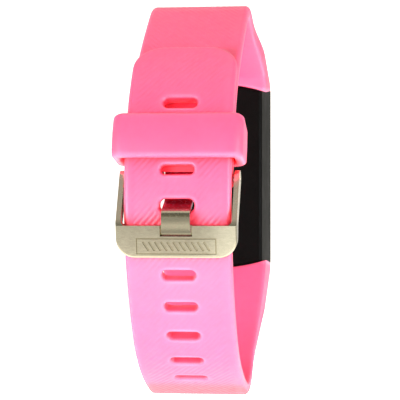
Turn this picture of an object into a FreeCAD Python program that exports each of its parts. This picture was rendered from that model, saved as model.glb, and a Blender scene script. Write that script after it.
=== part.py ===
"""Fitness tracker band, buckled into a wrist loop.

A rectangular tracker module closes a ring of two silicone straps. The upper strap carries a pin
buckle and a loose keeper ring. The lower strap is the tail with ten adjustment slots: it comes up
under the buckle bar, over the buckle pin, takes the tongue in its fourth slot and ends under the
keeper.

Row frame in millimetres: +X across the band (the wrist's axis), +Y out of the tracker's glass,
+Z up. The origin is under the loop's lowest point, in the middle of the overall box.
Side-view coordinates (y, z) in the comments are in this frame.
"""

import FreeCAD
import Part

import math
import os

V = FreeCAD.Vector
R = FreeCAD.Rotation
doc = FreeCAD.newDocument("FitnessTrackerBand")

# ------------------------------------------------------------------ driving dimensions
sheet = doc.addObject("Spreadsheet::Sheet", "dims")
OFF_Y = 0.134  # puts the middle of the overall box over the origin
CELLS = [
    ("arc_y", 3.0 + OFF_Y, "side-view centre of the buckle-side arc"),
    ("arc_z", 35.622, "height of that centre above the loop's lowest point"),
    ("strap_width", 18.0, "straps at the buckle"),
    ("strap_root_width", 20.2, "straps where they meet the module"),
    ("strap_thick", 2.2, "silicone strap"),
    ("layer_gap", 0.15, "air between the two strap layers"),
    ("upper_r", 31.7, "outer radius of the upper strap on the arc"),
    ("slot_length", 5.9, "adjustment slot, across the strap"),
    ("slot_height", 2.2, "adjustment slot, along the strap"),
    ("slot_corner", 1.0, "corner radius of the slots"),
    ("slot_pitch_deg", 10.15, "slot pitch, seen from the arc centre"),
    ("slot_first_deg", 28.95, "slot nearest the tip"),
    ("slot_count", 10, "adjustment slots"),
    ("tip_deg", 52.0, "where the tail ends"),
    ("tip_round", 5.4, "corner radius of the tail's tip"),
    ("keeper_width", 22.2, "keeper ring, across"),
    ("keeper_inner_width", 18.8, "keeper ring, inside"),
    ("keeper_wall", 1.9, "keeper ring wall"),
    ("keeper_clear", 0.25, "keeper to strap, each side"),
    ("keeper_span_deg", 12.6, "keeper length along the arc"),
    ("keeper_deg", 17.9, "keeper position on the arc"),
    ("pin_deg", 6.8, "buckle pin position on the arc"),
    ("pin_r", 30.1, "buckle pin distance from the arc centre"),
    ("barrel_r", 1.6, "moulded barrel around the buckle pin"),
    ("frame_width", 20.3, "buckle frame, outside"),
    ("frame_window", 18.6, "buckle frame, inside"),
    ("bar_height", 5.5, "buckle bar plate"),
    ("bar_thick", 1.0, "buckle bar plate"),
    ("bar_deg", -11.4, "middle of the buckle bar on the arc"),
    ("bar_clear", 0.25, "bar to tail"),
    ("bar_corner", 3.2, "lower corners of the bar"),
    ("notch_width", 5.4, "tongue rest in the bar"),
    ("notch_depth", 0.5, "tongue rest in the bar"),
    ("tongue_width", 4.8, "buckle tongue"),
    ("tongue_thick", 0.55, "buckle tongue"),
    ("bar_tube_d", 1.5, "spring bar tube, outside"),
    ("bar_tube_bore", 1.1, "spring bar tube, inside"),
    ("tip_d", 0.8, "spring bar tip"),
    ("tip_head_d", 1.0, "spring bar tip's head inside the tube"),
    ("tip_travel", 1.25, "travel of the strap bars' tips"),
    ("spring_wire", 0.16, "spring bar spring wire"),
    ("spring_mean_r", 0.36, "spring bar spring"),
    ("module_length", 38.0, "tracker module along the band, at its middle"),
    ("module_width", 20.2, "tracker module across, at the glass"),
    ("module_end_r", 33.0, "arched ends of the module"),
    ("module_draft", 5.0, "draft of the module's flanks, degrees"),
    ("module_z", 40.328, "height of the module's middle"),
    ("case_front_y", 31.9 + OFF_Y, "front rim of the case"),
    ("case_depth", 8.6, "case, front to back"),
    ("cover_depth", 1.8, "back cover thickness"),
    ("glass_thick", 1.2, "cover glass"),
    ("glass_recess", 0.75, "seat of the glass in the case"),
    ("rim", 0.42, "case rim around the glass"),
    ("cavity_width", 15.8, "inside of the case"),
    ("cavity_length", 25.4, "inside of the case"),
    ("recess_width", 14.0, "strap socket in each end of the case"),
    ("recess_depth", 4.6, "strap socket in each end of the case"),
    ("recess_thick", 5.2, "strap socket, front to back"),
    ("lug_y", 27.0 + OFF_Y, "spring bars of the straps, front to back"),
    ("lug_in", 2.3, "spring bar axis behind the module's end"),
    ("display_width", 13.4, "display panel"),
    ("display_length", 25.0, "display panel"),
    ("display_thick", 1.3, "display panel"),
    ("board_width", 15.2, "main board"),
    ("board_length", 24.8, "main board"),
    ("board_thick", 0.6, "main board"),
    ("battery_width", 12.6, "battery cell"),
    ("battery_length", 16.0, "battery cell"),
    ("battery_thick", 2.6, "battery cell"),
    ("motor_d", 6.0, "vibration motor can"),
    ("motor_thick", 2.5, "vibration motor can"),
    ("window_d", 8.0, "optical sensor window"),
    ("contact_d", 1.8, "charging contacts"),
]
for i, (alias, value, note) in enumerate(CELLS, start=1):
    sheet.set("A%d" % i, alias)
    sheet.set("B%d" % i, repr(float(value)) if not isinstance(value, int) else str(value))
    sheet.setAlias("B%d" % i, alias)
    sheet.set("C%d" % i, note)
doc.recompute()


def g(alias):
    return float(sheet.get(alias))


AY, AZ = g("arc_y"), g("arc_z")
OUT = {}  # node name -> document object


def publish(name, obj):
    OUT[name] = obj
    obj.Label = name
    return obj


def bind(obj, **props):
    for prop, expr in props.items():
        obj.setExpression(prop, expr)
    return obj


# ------------------------------------------------------------------ small builders
def box(name, size, at):
    """Box centred on at. size holds numbers or expressions of the sheet's cells."""
    b = doc.addObject("Part::Box", name)
    dims = []
    for prop, s in zip(("Length", "Width", "Height"), size):
        if isinstance(s, str):
            b.setExpression(prop, s)
            doc.recompute()
            dims.append(float(getattr(b, prop)))
        else:
            setattr(b, prop, s)
            dims.append(float(s))
    b.Placement = FreeCAD.Placement(V(at[0] - dims[0] / 2, at[1] - dims[1] / 2, at[2] - dims[2] / 2), R())
    return b


AXIS = {"X": R(V(0, 1, 0), 90), "Y": R(V(1, 0, 0), -90), "Z": R()}


def cyl(name, radius, height, at, axis="X"):
    """Cylinder whose first face is centred on at and which runs along +axis."""
    c = doc.addObject("Part::Cylinder", name)
    for prop, s in (("Radius", radius), ("Height", height)):
        if isinstance(s, str):
            c.setExpression(prop, s)
        else:
            setattr(c, prop, s)
    c.Placement = FreeCAD.Placement(V(*at), AXIS[axis])
    return c


def cut(name, base, *tools):
    for k, t in enumerate(tools):
        c = doc.addObject("Part::Cut", name if k == len(tools) - 1 else name + "_c%d" % k)
        c.Base, c.Tool = base, t
        base = c
    doc.recompute()
    return base


def fuse(name, *shapes):
    f = doc.addObject("Part::MultiFuse", name)
    f.Shapes = list(shapes)
    doc.recompute()
    return f


def common(name, a, b):
    c = doc.addObject("Part::Common", name)
    c.Base, c.Tool = a, b
    doc.recompute()
    return c


def group(name, *shapes):
    c = doc.addObject("Part::Compound", name)
    c.Links = list(shapes)
    doc.recompute()
    return c


def fillet_edges(name, base, radius, test):
    """Part::Fillet on the edges of base that test picks; the base comes back if none can be made."""
    doc.recompute()
    picked = [i + 1 for i, e in enumerate(base.Shape.Edges) if test(e)]
    if not picked:
        print("no edges for", name)
        return base
    f = doc.addObject("Part::Fillet", name)
    f.Base = base
    f.Edges = [(i, radius, radius) for i in picked]
    doc.recompute()
    if f.Shape.isNull() or not f.Shape.isValid() or "Invalid" in f.State or "Error" in f.State:
        print("fillet", name, "not made")
        f.Base = None
        doc.removeObject(f.Name)
        doc.recompute()
        return base
    return f


def body(name, at=(0, 0, 0), rot=None):
    b = doc.addObject("PartDesign::Body", name)
    b.Placement = FreeCAD.Placement(V(*at), rot or R())
    return b


def origin(b, role):
    return [f for f in b.Origin.OriginFeatures if f.Role == role][0]


def sketch(b, name, role="YZ_Plane", offset=None):
    s = b.newObject("Sketcher::SketchObject", name)
    s.AttachmentSupport = (origin(b, role), [""])
    s.MapMode = "FlatFace"
    if offset is not None:
        s.AttachmentOffset = offset
    return s


def rectangle(s, w, h):
    """Rectangle centred on the sketch's origin, with its width and height bound to expressions."""
    import Sketcher

    pts = [V(-1, -1, 0), V(1, -1, 0), V(1, 1, 0), V(-1, 1, 0)]
    s.addGeometry([Part.LineSegment(pts[i], pts[(i + 1) % 4]) for i in range(4)], False)
    for i in range(4):
        s.addConstraint(Sketcher.Constraint("Coincident", i, 2, (i + 1) % 4, 1))
    for i, k in ((0, "Horizontal"), (1, "Vertical"), (2, "Horizontal"), (3, "Vertical")):
        s.addConstraint(Sketcher.Constraint(k, i))
    s.addConstraint(Sketcher.Constraint("Symmetric", 0, 1, 2, 1, -1, 1))
    for prop, geo, kind, expr in (("wide", 0, "DistanceX", w), ("tall", 1, "DistanceY", h)):
        n = s.addConstraint(Sketcher.Constraint(kind, geo, 1, geo, 2, 2.0))
        s.renameConstraint(n, prop)
        if isinstance(expr, str):
            s.setExpression("Constraints." + prop, expr)
        else:
            s.setDatum(n, FreeCAD.Units.Quantity("%g mm" % expr))
    return s


def circle(s, d, at=(0, 0)):
    import Sketcher

    s.addGeometry(Part.Circle(V(at[0], at[1], 0), V(0, 0, 1), 1.0), False)
    if at == (0, 0):
        s.addConstraint(Sketcher.Constraint("Coincident", 0, 3, -1, 1))
    else:
        s.addConstraint(Sketcher.Constraint("DistanceX", -1, 1, 0, 3, at[0]))
        s.addConstraint(Sketcher.Constraint("DistanceY", -1, 1, 0, 3, at[1]))
    n = s.addConstraint(Sketcher.Constraint("Diameter", 0, 2.0))
    s.renameConstraint(n, "dia")
    if isinstance(d, str):
        s.setExpression("Constraints.dia", d)
    else:
        s.setDatum(n, FreeCAD.Units.Quantity("%g mm" % d))
    return s


def pad(b, s, length, name, midplane=False, reverse=False, taper=None):
    p = b.newObject("PartDesign::Pad", name)
    p.Profile = s
    if isinstance(length, str):
        p.setExpression("Length", length)
    else:
        p.Length = length
    if midplane:
        p.SideType = "Symmetric" if hasattr(p, "SideType") else None
    p.Reversed = reverse
    if taper:
        p.setExpression("TaperAngle", taper) if isinstance(taper, str) else setattr(p, "TaperAngle", taper)
    doc.recompute()
    return p


def pocket(b, s, length, name, midplane=False, reverse=False, through=False):
    before = b.Shape.Volume
    p = b.newObject("PartDesign::Pocket", name)
    p.Profile = s
    if through:
        p.Type = "ThroughAll"
    elif isinstance(length, str):
        p.setExpression("Length", length)
    else:
        p.Length = length
    if midplane:
        p.SideType = "Symmetric"
    p.Reversed = reverse
    doc.recompute()
    if not b.Shape.Volume < before - 1e-6:
        raise RuntimeError(name + " cut nothing")
    return p


def close(s, items):
    """Adds a chain of edges to a sketch and ties the ends."""
    import Sketcher

    n0 = s.GeometryCount
    s.addGeometry(items, False)
    return s


class Path:
    """A chain of tangent lines and arcs in a plane, walked like a turtle. Headings in degrees."""

    def __init__(self, x, y, heading):
        self.p, self.a, self.items = (x, y), math.radians(heading), []

    def line(self, length):
        x, y = self.p
        q = (x + length * math.cos(self.a), y + length * math.sin(self.a))
        self.items.append(Part.LineSegment(V(x, y, 0), V(q[0], q[1], 0)))
        self.p = q
        return self

    def to(self, x, y):
        self.items.append(Part.LineSegment(V(self.p[0], self.p[1], 0), V(x, y, 0)))
        self.a = math.atan2(y - self.p[1], x - self.p[0])
        self.p = (x, y)
        return self

    def turn(self, radius, degrees):
        """Arc; positive degrees turn left."""
        s = 1 if degrees > 0 else -1
        x, y = self.p
        cx, cy = x - s * radius * math.sin(self.a), y + s * radius * math.cos(self.a)
        half, full = math.radians(degrees) / 2, math.radians(degrees)

        def at(t):
            b = self.a + t
            return (cx + s * radius * math.sin(b), cy - s * radius * math.cos(b))

        m, q = at(half), at(full)
        self.items.append(Part.Arc(V(x, y, 0), V(m[0], m[1], 0), V(q[0], q[1], 0)))
        self.p, self.a = q, self.a + full
        return self


def reach_x(x, heading_deg, radius, turn_deg, target):
    """Length of a line at heading from x so that the arc after it ends at target."""
    a = math.radians(heading_deg)
    s = 1 if turn_deg > 0 else -1
    b = a + math.radians(turn_deg)
    return (target - x - s * radius * (math.sin(b) - math.sin(a))) / math.cos(a)


# ------------------------------------------------------------------ module solids used by several parts
CASE_Y, MZ = g("case_front_y"), g("module_z")
FACE_Y = CASE_Y - g("case_depth") - g("cover_depth")  # skin side of the back cover
tan_draft = math.tan(math.radians(g("module_draft")))


def arched(s, half_w, half_l, grow=0.0, corner=0.0):
    """Module outline in an XZ sketch: straight flanks and arched ends."""
    w, l, r = half_w + grow, half_l + grow, g("module_end_r") + grow
    sag = r - math.sqrt(r * r - w * w)
    if corner <= 0:
        e = l - sag
        items = [
            Part.LineSegment(V(w, -e, 0), V(w, e, 0)),
            Part.Arc(V(w, e, 0), V(0, l, 0), V(-w, e, 0)),
            Part.LineSegment(V(-w, e, 0), V(-w, -e, 0)),
            Part.Arc(V(-w, -e, 0), V(0, -l, 0), V(w, -e, 0)),
        ]
    else:
        # corner arcs between the flank and the arch
        k = corner
        cy = l - r + math.sqrt((r - k) ** 2 - (w - k) ** 2)
        cx = w - k
        ux, uy = cx / (r - k), (cy - (l - r)) / (r - k)
        tx, ty = r * ux, (l - r) + r * uy
        mx, my = (1 + ux), uy
        n = math.hypot(mx, my)
        mx, my = cx + k * mx / n, cy + k * my / n
        items = [
            Part.LineSegment(V(w, -cy, 0), V(w, cy, 0)),
            Part.Arc(V(w, cy, 0), V(mx, my, 0), V(tx, ty, 0)),
            Part.Arc(V(tx, ty, 0), V(0, l, 0), V(-tx, ty, 0)),
            Part.Arc(V(-tx, ty, 0), V(-mx, my, 0), V(-w, cy, 0)),
            Part.LineSegment(V(-w, cy, 0), V(-w, -cy, 0)),
            Part.Arc(V(-w, -cy, 0), V(-mx, -my, 0), V(-tx, -ty, 0)),
            Part.Arc(V(-tx, -ty, 0), V(0, -l, 0), V(tx, -ty, 0)),
            Part.Arc(V(tx, -ty, 0), V(mx, -my, 0), V(w, -cy, 0)),
        ]
    s.addGeometry(items, False)
    return s


HW, HL = g("module_width") / 2, g("module_length") / 2

# Envelope of the whole module, a little larger, that shapes the strap ends.
env = body("module_envelope", (0, CASE_Y + 1.0, MZ))
s = sketch(env, "env_outline", "XZ_Plane")
arched(s, HW + 2.5, HL + 1.0 * tan_draft + 0.05)
pad(env, s, 14.0, "env_pad", taper="-dims.module_draft")

# ------------------------------------------------------------------ strap outline seen from above
RW, SW = g("strap_root_width") / 2, g("strap_width") / 2
flare_y0, flare_y1 = AY + 5.0, AY + 17.0
outline = body("strap_outline", (0, 0, 0))
s = sketch(outline, "outline_sketch", "XY_Plane", FreeCAD.Placement(V(0, 0, -6), R()))
L, h = flare_y1 - flare_y0, RW - SW
fr = (L * L + h * h) / (4 * h)
ym, xm = (flare_y0 + flare_y1) / 2, (RW + SW) / 2
fa = math.asin(L / 2 / fr) / 2
lo = (SW + fr * (1 - math.cos(fa)), flare_y0 + fr * math.sin(fa))
hi = (RW - fr * (1 - math.cos(fa)), flare_y1 - fr * math.sin(fa))
yb, yt = AY - 46.0, AY + 40.0
s.addGeometry(
    [
        Part.LineSegment(V(SW, yb, 0), V(SW, flare_y0, 0)),
        Part.Arc(V(SW, flare_y0, 0), V(lo[0], lo[1], 0), V(xm, ym, 0)),
        Part.Arc(V(xm, ym, 0), V(hi[0], hi[1], 0), V(RW, flare_y1, 0)),
        Part.LineSegment(V(RW, flare_y1, 0), V(RW, yt, 0)),
        Part.LineSegment(V(RW, yt, 0), V(-RW, yt, 0)),
        Part.LineSegment(V(-RW, yt, 0), V(-RW, flare_y1, 0)),
        Part.Arc(V(-RW, flare_y1, 0), V(-hi[0], hi[1], 0), V(-xm, ym, 0)),
        Part.Arc(V(-xm, ym, 0), V(-lo[0], lo[1], 0), V(-SW, flare_y0, 0)),
        Part.LineSegment(V(-SW, flare_y0, 0), V(-SW, yb, 0)),
        Part.LineSegment(V(-SW, yb, 0), V(SW, yb, 0)),
    ],
    False,
)
pad(outline, s, 90.0, "outline_pad")

# ------------------------------------------------------------------ strap side profiles, about the arc centre
T = g("strap_thick")
RO = g("upper_r")
TI = RO + g("layer_gap")  # tail, inside
TO = TI + T  # tail, outside
ROOT_Y = CASE_Y + 0.2 - AY  # outer face of the straps where they meet the module
BACK_Y = FACE_Y - AY  # inner face there
PIN_A = math.radians(g("pin_deg"))
PIN = (-g("pin_r") * math.cos(PIN_A), g("pin_r") * math.sin(PIN_A))


def on_arc(r, deg):
    a = math.radians(deg)
    return (-r * math.cos(a), r * math.sin(a))


# Lower strap: tail arc, rounded bottom of the loop, straight run, thick root at the module.
tip = g("tip_deg")
BENDS = ((52.0, 14.0), (24.0, 24.0), (45.0, 10.0))  # below the arc: radius, degrees
x, z = on_arc(TO, tip)
outer = Path(x, z, -(90 + tip))  # heading down the arc
outer.turn(TO, tip + 22.0)
for rad, deg in BENDS:
    outer.turn(rad, deg)
outer.line(3.2).turn(12.0, 64.0).line(10.6).turn(20.0, -14.0)
outer.line(reach_x(outer.p[0], 30.0, 3.0, 60.0, ROOT_Y)).turn(3.0, 60.0).to(ROOT_Y, -8.0)
x, z = on_arc(TI, tip)
inner = Path(x, z, -(90 + tip))
inner.turn(TI, tip + 22.0)
for rad, deg in BENDS:
    inner.turn(rad - T, deg)
inner.line(3.2).turn(12.0 - T, 64.0).line(5.6).turn(30.0, 10.0)
inner.line(reach_x(inner.p[0], 54.0, 3.0, 36.0, BACK_Y)).turn(3.0, 36.0).to(BACK_Y, -8.0)

lower_body = body("lower_strap_body", (0, AY, AZ))
s = sketch(lower_body, "lower_profile", "YZ_Plane")
s.addGeometry(
    outer.items
    + inner.items
    + [
        Part.LineSegment(V(*on_arc(TO, tip), 0), V(*on_arc(TI, tip), 0)),
        Part.LineSegment(V(ROOT_Y, -8.0, 0), V(BACK_Y, -8.0, 0)),
    ],
    False,
)
pad(lower_body, s, "dims.strap_root_width + 0.6", "lower_pad", midplane=True)
# one adjustment slot, then its pattern about the arc's axis
s = sketch(
    lower_body,
    "slot_sketch",
    "XZ_Plane",
    FreeCAD.Placement(V(0, 0, 0), R(V(1, 0, 0), -g("slot_first_deg"))),
)
sl, sh, sr = g("slot_length") / 2, g("slot_height") / 2, g("slot_corner")
sk = sr * (1 - math.sqrt(0.5))
s.addGeometry(
    [
        Part.LineSegment(V(-sl + sr, sh, 0), V(sl - sr, sh, 0)),
        Part.Arc(V(sl - sr, sh, 0), V(sl - sk, sh - sk, 0), V(sl, sh - sr, 0)),
        Part.LineSegment(V(sl, sh - sr, 0), V(sl, -sh + sr, 0)),
        Part.Arc(V(sl, -sh + sr, 0), V(sl - sk, -sh + sk, 0), V(sl - sr, -sh, 0)),
        Part.LineSegment(V(sl - sr, -sh, 0), V(-sl + sr, -sh, 0)),
        Part.Arc(V(-sl + sr, -sh, 0), V(-sl + sk, -sh + sk, 0), V(-sl, -sh + sr, 0)),
        Part.LineSegment(V(-sl, -sh + sr, 0), V(-sl, sh - sr, 0)),
        Part.Arc(V(-sl, sh - sr, 0), V(-sl + sk, sh - sk, 0), V(-sl + sr, sh, 0)),
    ],
    False,
)
slot = pocket(lower_body, s, 40.0, "slot_pocket", reverse=True)
pat = lower_body.newObject("PartDesign::PolarPattern", "slot_pattern")
pat.Originals = [slot]
pat.Axis = (origin(lower_body, "X_Axis"), [""])
pat.setExpression("Angle", "dims.slot_pitch_deg * (dims.slot_count - 1)")
pat.setExpression("Occurrences", "dims.slot_count")
lower_body.Tip = pat
doc.recompute()

lower = common("lower_common", lower_body, outline)
lower = cut("lower_shaped", lower, env)


def at_tip(e):
    if len(e.Vertexes) != 2 or abs(e.Length - T) > 0.05:
        return False
    for v in e.Vertexes:
        ang = math.degrees(math.atan2(v.Point.z - AZ, -(v.Point.y - AY)))
        if abs(ang - tip) > 0.2:
            return False
    return abs(abs(e.Vertexes[0].Point.x) - SW) < 0.05


lower = fillet_edges("lower_tip", lower, g("tip_round"), at_tip)

# Upper strap: barrel round the buckle pin, arc under the tail, crest, straight run, thick root.
x, z = on_arc(RO, g("pin_deg") - 1.0)
h0 = 90 - (g("pin_deg") - 1.0)
up = Path(x, z, h0).turn(RO, -(h0 - 40.0))
crest_z, crest_r = 35.8, 9.0
dz_run = crest_z - crest_r * (1 - math.cos(math.radians(32))) - up.p[1]
big = dz_run / (math.cos(math.radians(32)) - math.cos(math.radians(40)))
up.turn(big, -8.0).turn(crest_r, -52.0).turn(180.0, -4.0)
up.line(reach_x(up.p[0], -24.0, 3.0, -66.0, ROOT_Y)).turn(3.0, -66.0).to(ROOT_Y, 14.0)
print("upper outside", [(round(i.StartPoint.x, 2), round(i.StartPoint.y, 2)) for i in up.items])
print("lower outside", [(round(i.StartPoint.x, 2), round(i.StartPoint.y, 2)) for i in outer.items])
print("lower inside", [(round(i.StartPoint.x, 2), round(i.StartPoint.y, 2)) for i in inner.items])
x, z = on_arc(RO - T, g("pin_deg") - 1.0)
un = Path(x, z, h0).turn(RO - T, -(h0 - 40.0))
un.turn(big - T, -8.0).turn(crest_r - T, -52.0).turn(60.0, -12.0)
un.line(reach_x(un.p[0], -32.0, 3.0, -58.0, BACK_Y)).turn(3.0, -58.0).to(BACK_Y, 14.0)
upper_body = body("upper_strap_body", (0, AY, AZ))
s = sketch(upper_body, "upper_profile", "YZ_Plane")
a0 = g("pin_deg") - 1.0
s.addGeometry(
    up.items
    + un.items
    + [
        Part.LineSegment(V(*on_arc(RO, a0), 0), V(*on_arc(RO - T, a0), 0)),
        Part.LineSegment(V(ROOT_Y, 14.0, 0), V(BACK_Y, 14.0, 0)),
    ],
    False,
)
pad(upper_body, s, "dims.strap_root_width + 0.6", "upper_pad", midplane=True)
upper = common("upper_common", upper_body, outline)
upper = cut("upper_shaped", upper, env)
PY, PZ = AY + PIN[0], AZ + PIN[1]
barrel = cyl("barrel", "dims.barrel_r", "dims.strap_width", (-SW, PY, PZ))
upper = fuse("upper_barrel", upper, barrel)
upper = cut(
    "upper_bored",
    upper,
    cyl("pin_bore", "dims.bar_tube_d / 2 + 0.02", 30.0, (-15, PY, PZ)),
    cyl("tongue_gap", 1.85, "dims.notch_width", (-g("notch_width") / 2, PY, PZ)),
)
# the strap stops above the tongue's gap
upper = cut("upper_gap", upper, box("tongue_gap_box", ("dims.notch_width", 4.2, 3.6), (0, PY, PZ - 1.8)))


# ------------------------------------------------------------------ strap roots: tenon and bore for the spring bar
LUG_Y = g("lug_y")
zt, zb = MZ + HL, MZ - HL
bars = {"top": MZ + HL - g("lug_in"), "bottom": MZ - HL + g("lug_in")}
rooted = {}
for side, strap, zend, sgn in (("top", upper, zt, 1), ("bottom", lower, zb, -1)):
    zbar = bars[side]
    half = g("recess_thick") / 2 - 0.1
    stub = box(side + "_tenon_box", ("dims.recess_width - 0.2", "dims.recess_thick - 0.2", 2.9), (0, LUG_Y, zbar + sgn * 1.45))
    nose = cyl(side + "_tenon_nose", 2.1, "dims.recess_width - 0.2", (-g("recess_width") / 2 + 0.1, LUG_Y, zbar))
    tenon = fuse(side + "_tenon", stub, nose)
    tenon = common(side + "_tenon_in", tenon, box(side + "_tenon_keep", (20.0, 12.0, 9.0), (0, LUG_Y, zbar - sgn * 2.2 + sgn * 4.5)))
    strap = fuse(side + "_rooted", strap, tenon)
    strap = cut(side + "_root_bored", strap, cyl(side + "_root_bore", "dims.bar_tube_d / 2 + 0.02", 30.0, (-15, LUG_Y, zbar)))
    rooted[side] = strap
publish("upper_strap", rooted["top"])
publish("lower_strap", rooted["bottom"])

# ------------------------------------------------------------------ keeper ring, turned about the arc's axis
keeper = body("keeper_body", (0, AY, AZ), R(V(1, 0, 0), -g("keeper_deg")))
ki, ko = RO - T - g("keeper_clear"), TO + g("keeper_clear")
kw = g("keeper_wall")
mid = -(ki + ko) / 2
s = sketch(keeper, "keeper_section", "XY_Plane")


def rounded(hx, hy, cy, r):
    k = r * (1 - math.sqrt(0.5))
    p = []
    p.append(Part.LineSegment(V(-hx + r, cy - hy, 0), V(hx - r, cy - hy, 0)))
    p.append(Part.Arc(V(hx - r, cy - hy, 0), V(hx - k, cy - hy + k, 0), V(hx, cy - hy + r, 0)))
    p.append(Part.LineSegment(V(hx, cy - hy + r, 0), V(hx, cy + hy - r, 0)))
    p.append(Part.Arc(V(hx, cy + hy - r, 0), V(hx - k, cy + hy - k, 0), V(hx - r, cy + hy, 0)))
    p.append(Part.LineSegment(V(hx - r, cy + hy, 0), V(-hx + r, cy + hy, 0)))
    p.append(Part.Arc(V(-hx + r, cy + hy, 0), V(-hx + k, cy + hy - k, 0), V(-hx, cy + hy - r, 0)))
    p.append(Part.LineSegment(V(-hx, cy + hy - r, 0), V(-hx, cy - hy + r, 0)))
    p.append(Part.Arc(V(-hx, cy - hy + r, 0), V(-hx + k, cy - hy + k, 0), V(-hx + r, cy - hy, 0)))
    return p


s.addGeometry(
    rounded(g("keeper_width") / 2, (ko - ki) / 2 + kw, mid, 1.9)
    + rounded(g("keeper_inner_width") / 2, (ko - ki) / 2, mid, 0.25),
    False,
)
rev = keeper.newObject("PartDesign::Revolution", "keeper_turn")
rev.Profile = s
rev.ReferenceAxis = (origin(keeper, "X_Axis"), [""])
rev.setExpression("Angle", "dims.keeper_span_deg")
rev.Midplane = True
doc.recompute()


def rim_outer(e):
    c = e.BoundBox.Center
    return e.BoundBox.DiagonalLength > 0.3 and not (
        abs(c.x) < g("keeper_inner_width") / 2 + 0.01
        and e.BoundBox.XMax < g("keeper_inner_width") / 2 + 0.02
        and e.BoundBox.XMin > -g("keeper_inner_width") / 2 - 0.02
        and abs(math.hypot(c.y - AY, c.z - AZ) - (ki + ko) / 2) < (ko - ki) / 2 + 0.3
    )


def flat_rim(e):
    # edges that lie in one of the two end planes of the ring
    angs = [math.degrees(math.atan2(v.Point.z - AZ, -(v.Point.y - AY))) for v in e.Vertexes]
    ends = (g("keeper_deg") - g("keeper_span_deg") / 2, g("keeper_deg") + g("keeper_span_deg") / 2)
    return any(all(abs(a - q) < 0.05 for a in angs) for q in ends) and rim_outer(e)


publish("keeper", fillet_edges("keeper_soft", keeper, 0.45, flat_rim))

# ------------------------------------------------------------------ buckle frame
BD = math.radians(g("bar_deg"))
BR = TO + g("bar_clear")
n = (-math.cos(BD), math.sin(BD))  # outward from the arc
t = (-math.sin(BD), -math.cos(BD))  # down along the band
if t[1] > 0:
    t = (-t[0], -t[1])
M = (BR * n[0], BR * n[1])


def at(sv, wv):
    return (M[0] + sv * t[0] + wv * n[0], M[1] + sv * t[1] + wv * n[1])


bh, bt = g("bar_height") / 2, g("bar_thick")
A_, B_, E_, D_ = at(-bh, 0), at(-bh, bt), at(bh, bt), at(bh, 0)
H_, G_ = at(1.6, 0), at(-bh, -1.5)
ex, ez = B_[0] - PIN[0], B_[1] - PIN[1]
en = math.hypot(ex, ez)
left = (ez / en, -ex / en)
ear = 1.4
T1 = (PIN[0] + ear * left[0], PIN[1] + ear * left[1])
T2 = (PIN[0] - ear * left[0], PIN[1] - ear * left[1])
if T1[0] > T2[0]:
    T1, T2 = T2, T1
top_ear = (PIN[0] - ear * ex / en, PIN[1] - ear * ez / en)
frame = body("frame_body", (0, AY, AZ))
s = sketch(frame, "frame_side", "YZ_Plane")
pts = [T1, B_, E_, D_, H_, G_, T2]
s.addGeometry(
    [Part.LineSegment(V(*pts[i], 0), V(*pts[i + 1], 0)) for i in range(len(pts) - 1)]
    + [Part.Arc(V(*T2, 0), V(*top_ear, 0), V(*T1, 0))],
    False,
)
pad(frame, s, "dims.frame_width", "frame_pad", midplane=True)
s = sketch(frame, "frame_window_sketch", "YZ_Plane")
q = [at(-bh, 2.5), at(-bh, 0), at(bh + 3, 0), at(bh + 3, -9), at(-bh - 12, -9), at(-bh - 12, 2.5)]
s.addGeometry([Part.LineSegment(V(*q[i], 0), V(*q[(i + 1) % 6], 0)) for i in range(6)], False)
pocket(frame, s, "dims.frame_window", "frame_window_cut", midplane=True)
s = sketch(frame, "ear_hole", "YZ_Plane", FreeCAD.Placement(V(PIN[0], PIN[1], 0), R()))
circle(s, "dims.tip_d + 0.08")
pocket(frame, s, 60.0, "ear_hole_cut", midplane=True)
s = sketch(frame, "notch", "YZ_Plane")
nd = g("notch_depth")
q = [at(-bh - 0.5, bt + 0.5), at(-bh - 0.5, bt - nd), at(-1.15, bt - nd), at(-0.75, bt + 0.5)]
s.addGeometry([Part.LineSegment(V(*q[i], 0), V(*q[(i + 1) % 4], 0)) for i in range(4)], False)
pocket(frame, s, "dims.notch_width", "notch_cut", midplane=True)


def bar_corner(e):
    if len(e.Vertexes) != 2:
        return False
    c = e.CenterOfMass
    mid_ = at(bh, bt / 2)
    return (
        abs(abs(c.x) - g("frame_width") / 2) < 0.02
        and math.hypot(c.y - AY - mid_[0], c.z - AZ - mid_[1]) < 0.1
    )


def window_corner(e):
    if len(e.Vertexes) != 2:
        return False
    c = e.CenterOfMass
    mid_ = at(-bh, bt / 2)
    return (
        abs(abs(c.x) - g("frame_window") / 2) < 0.02
        and math.hypot(c.y - AY - mid_[0], c.z - AZ - mid_[1]) < 0.3
        and 0.5 < e.Length < 1.5
    )


def ear_rim(e):
    c = e.CenterOfMass
    return abs(abs(c.x) - g("frame_width") / 2) < 0.02 and math.hypot(c.y - AY - PIN[0], c.z - AZ - PIN[1]) < 0.05


fr_obj = fillet_edges("frame_corners", frame, g("bar_corner"), bar_corner)
fr_obj = fillet_edges("frame_window_corners", fr_obj, 0.9, window_corner)
fr_obj = fillet_edges("frame_ear_rims", fr_obj, 0.14, ear_rim)


def outer_rim(e):
    # outside edges of the plate and of the arms
    c = e.CenterOfMass
    w = (c.y - AY - M[0]) * n[0] + (c.z - AZ - M[1]) * n[1]
    sv = (c.y - AY - M[0]) * t[0] + (c.z - AZ - M[1]) * t[1]
    if abs(w - bt) < 0.03 and sv > 0.5 and abs(c.x) > 4:
        return True
    if abs(w - bt) < 0.03 and sv > bh - 0.05:
        return True
    return False


fr_obj = fillet_edges("frame_soft", fr_obj, 0.3, outer_rim)


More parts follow.
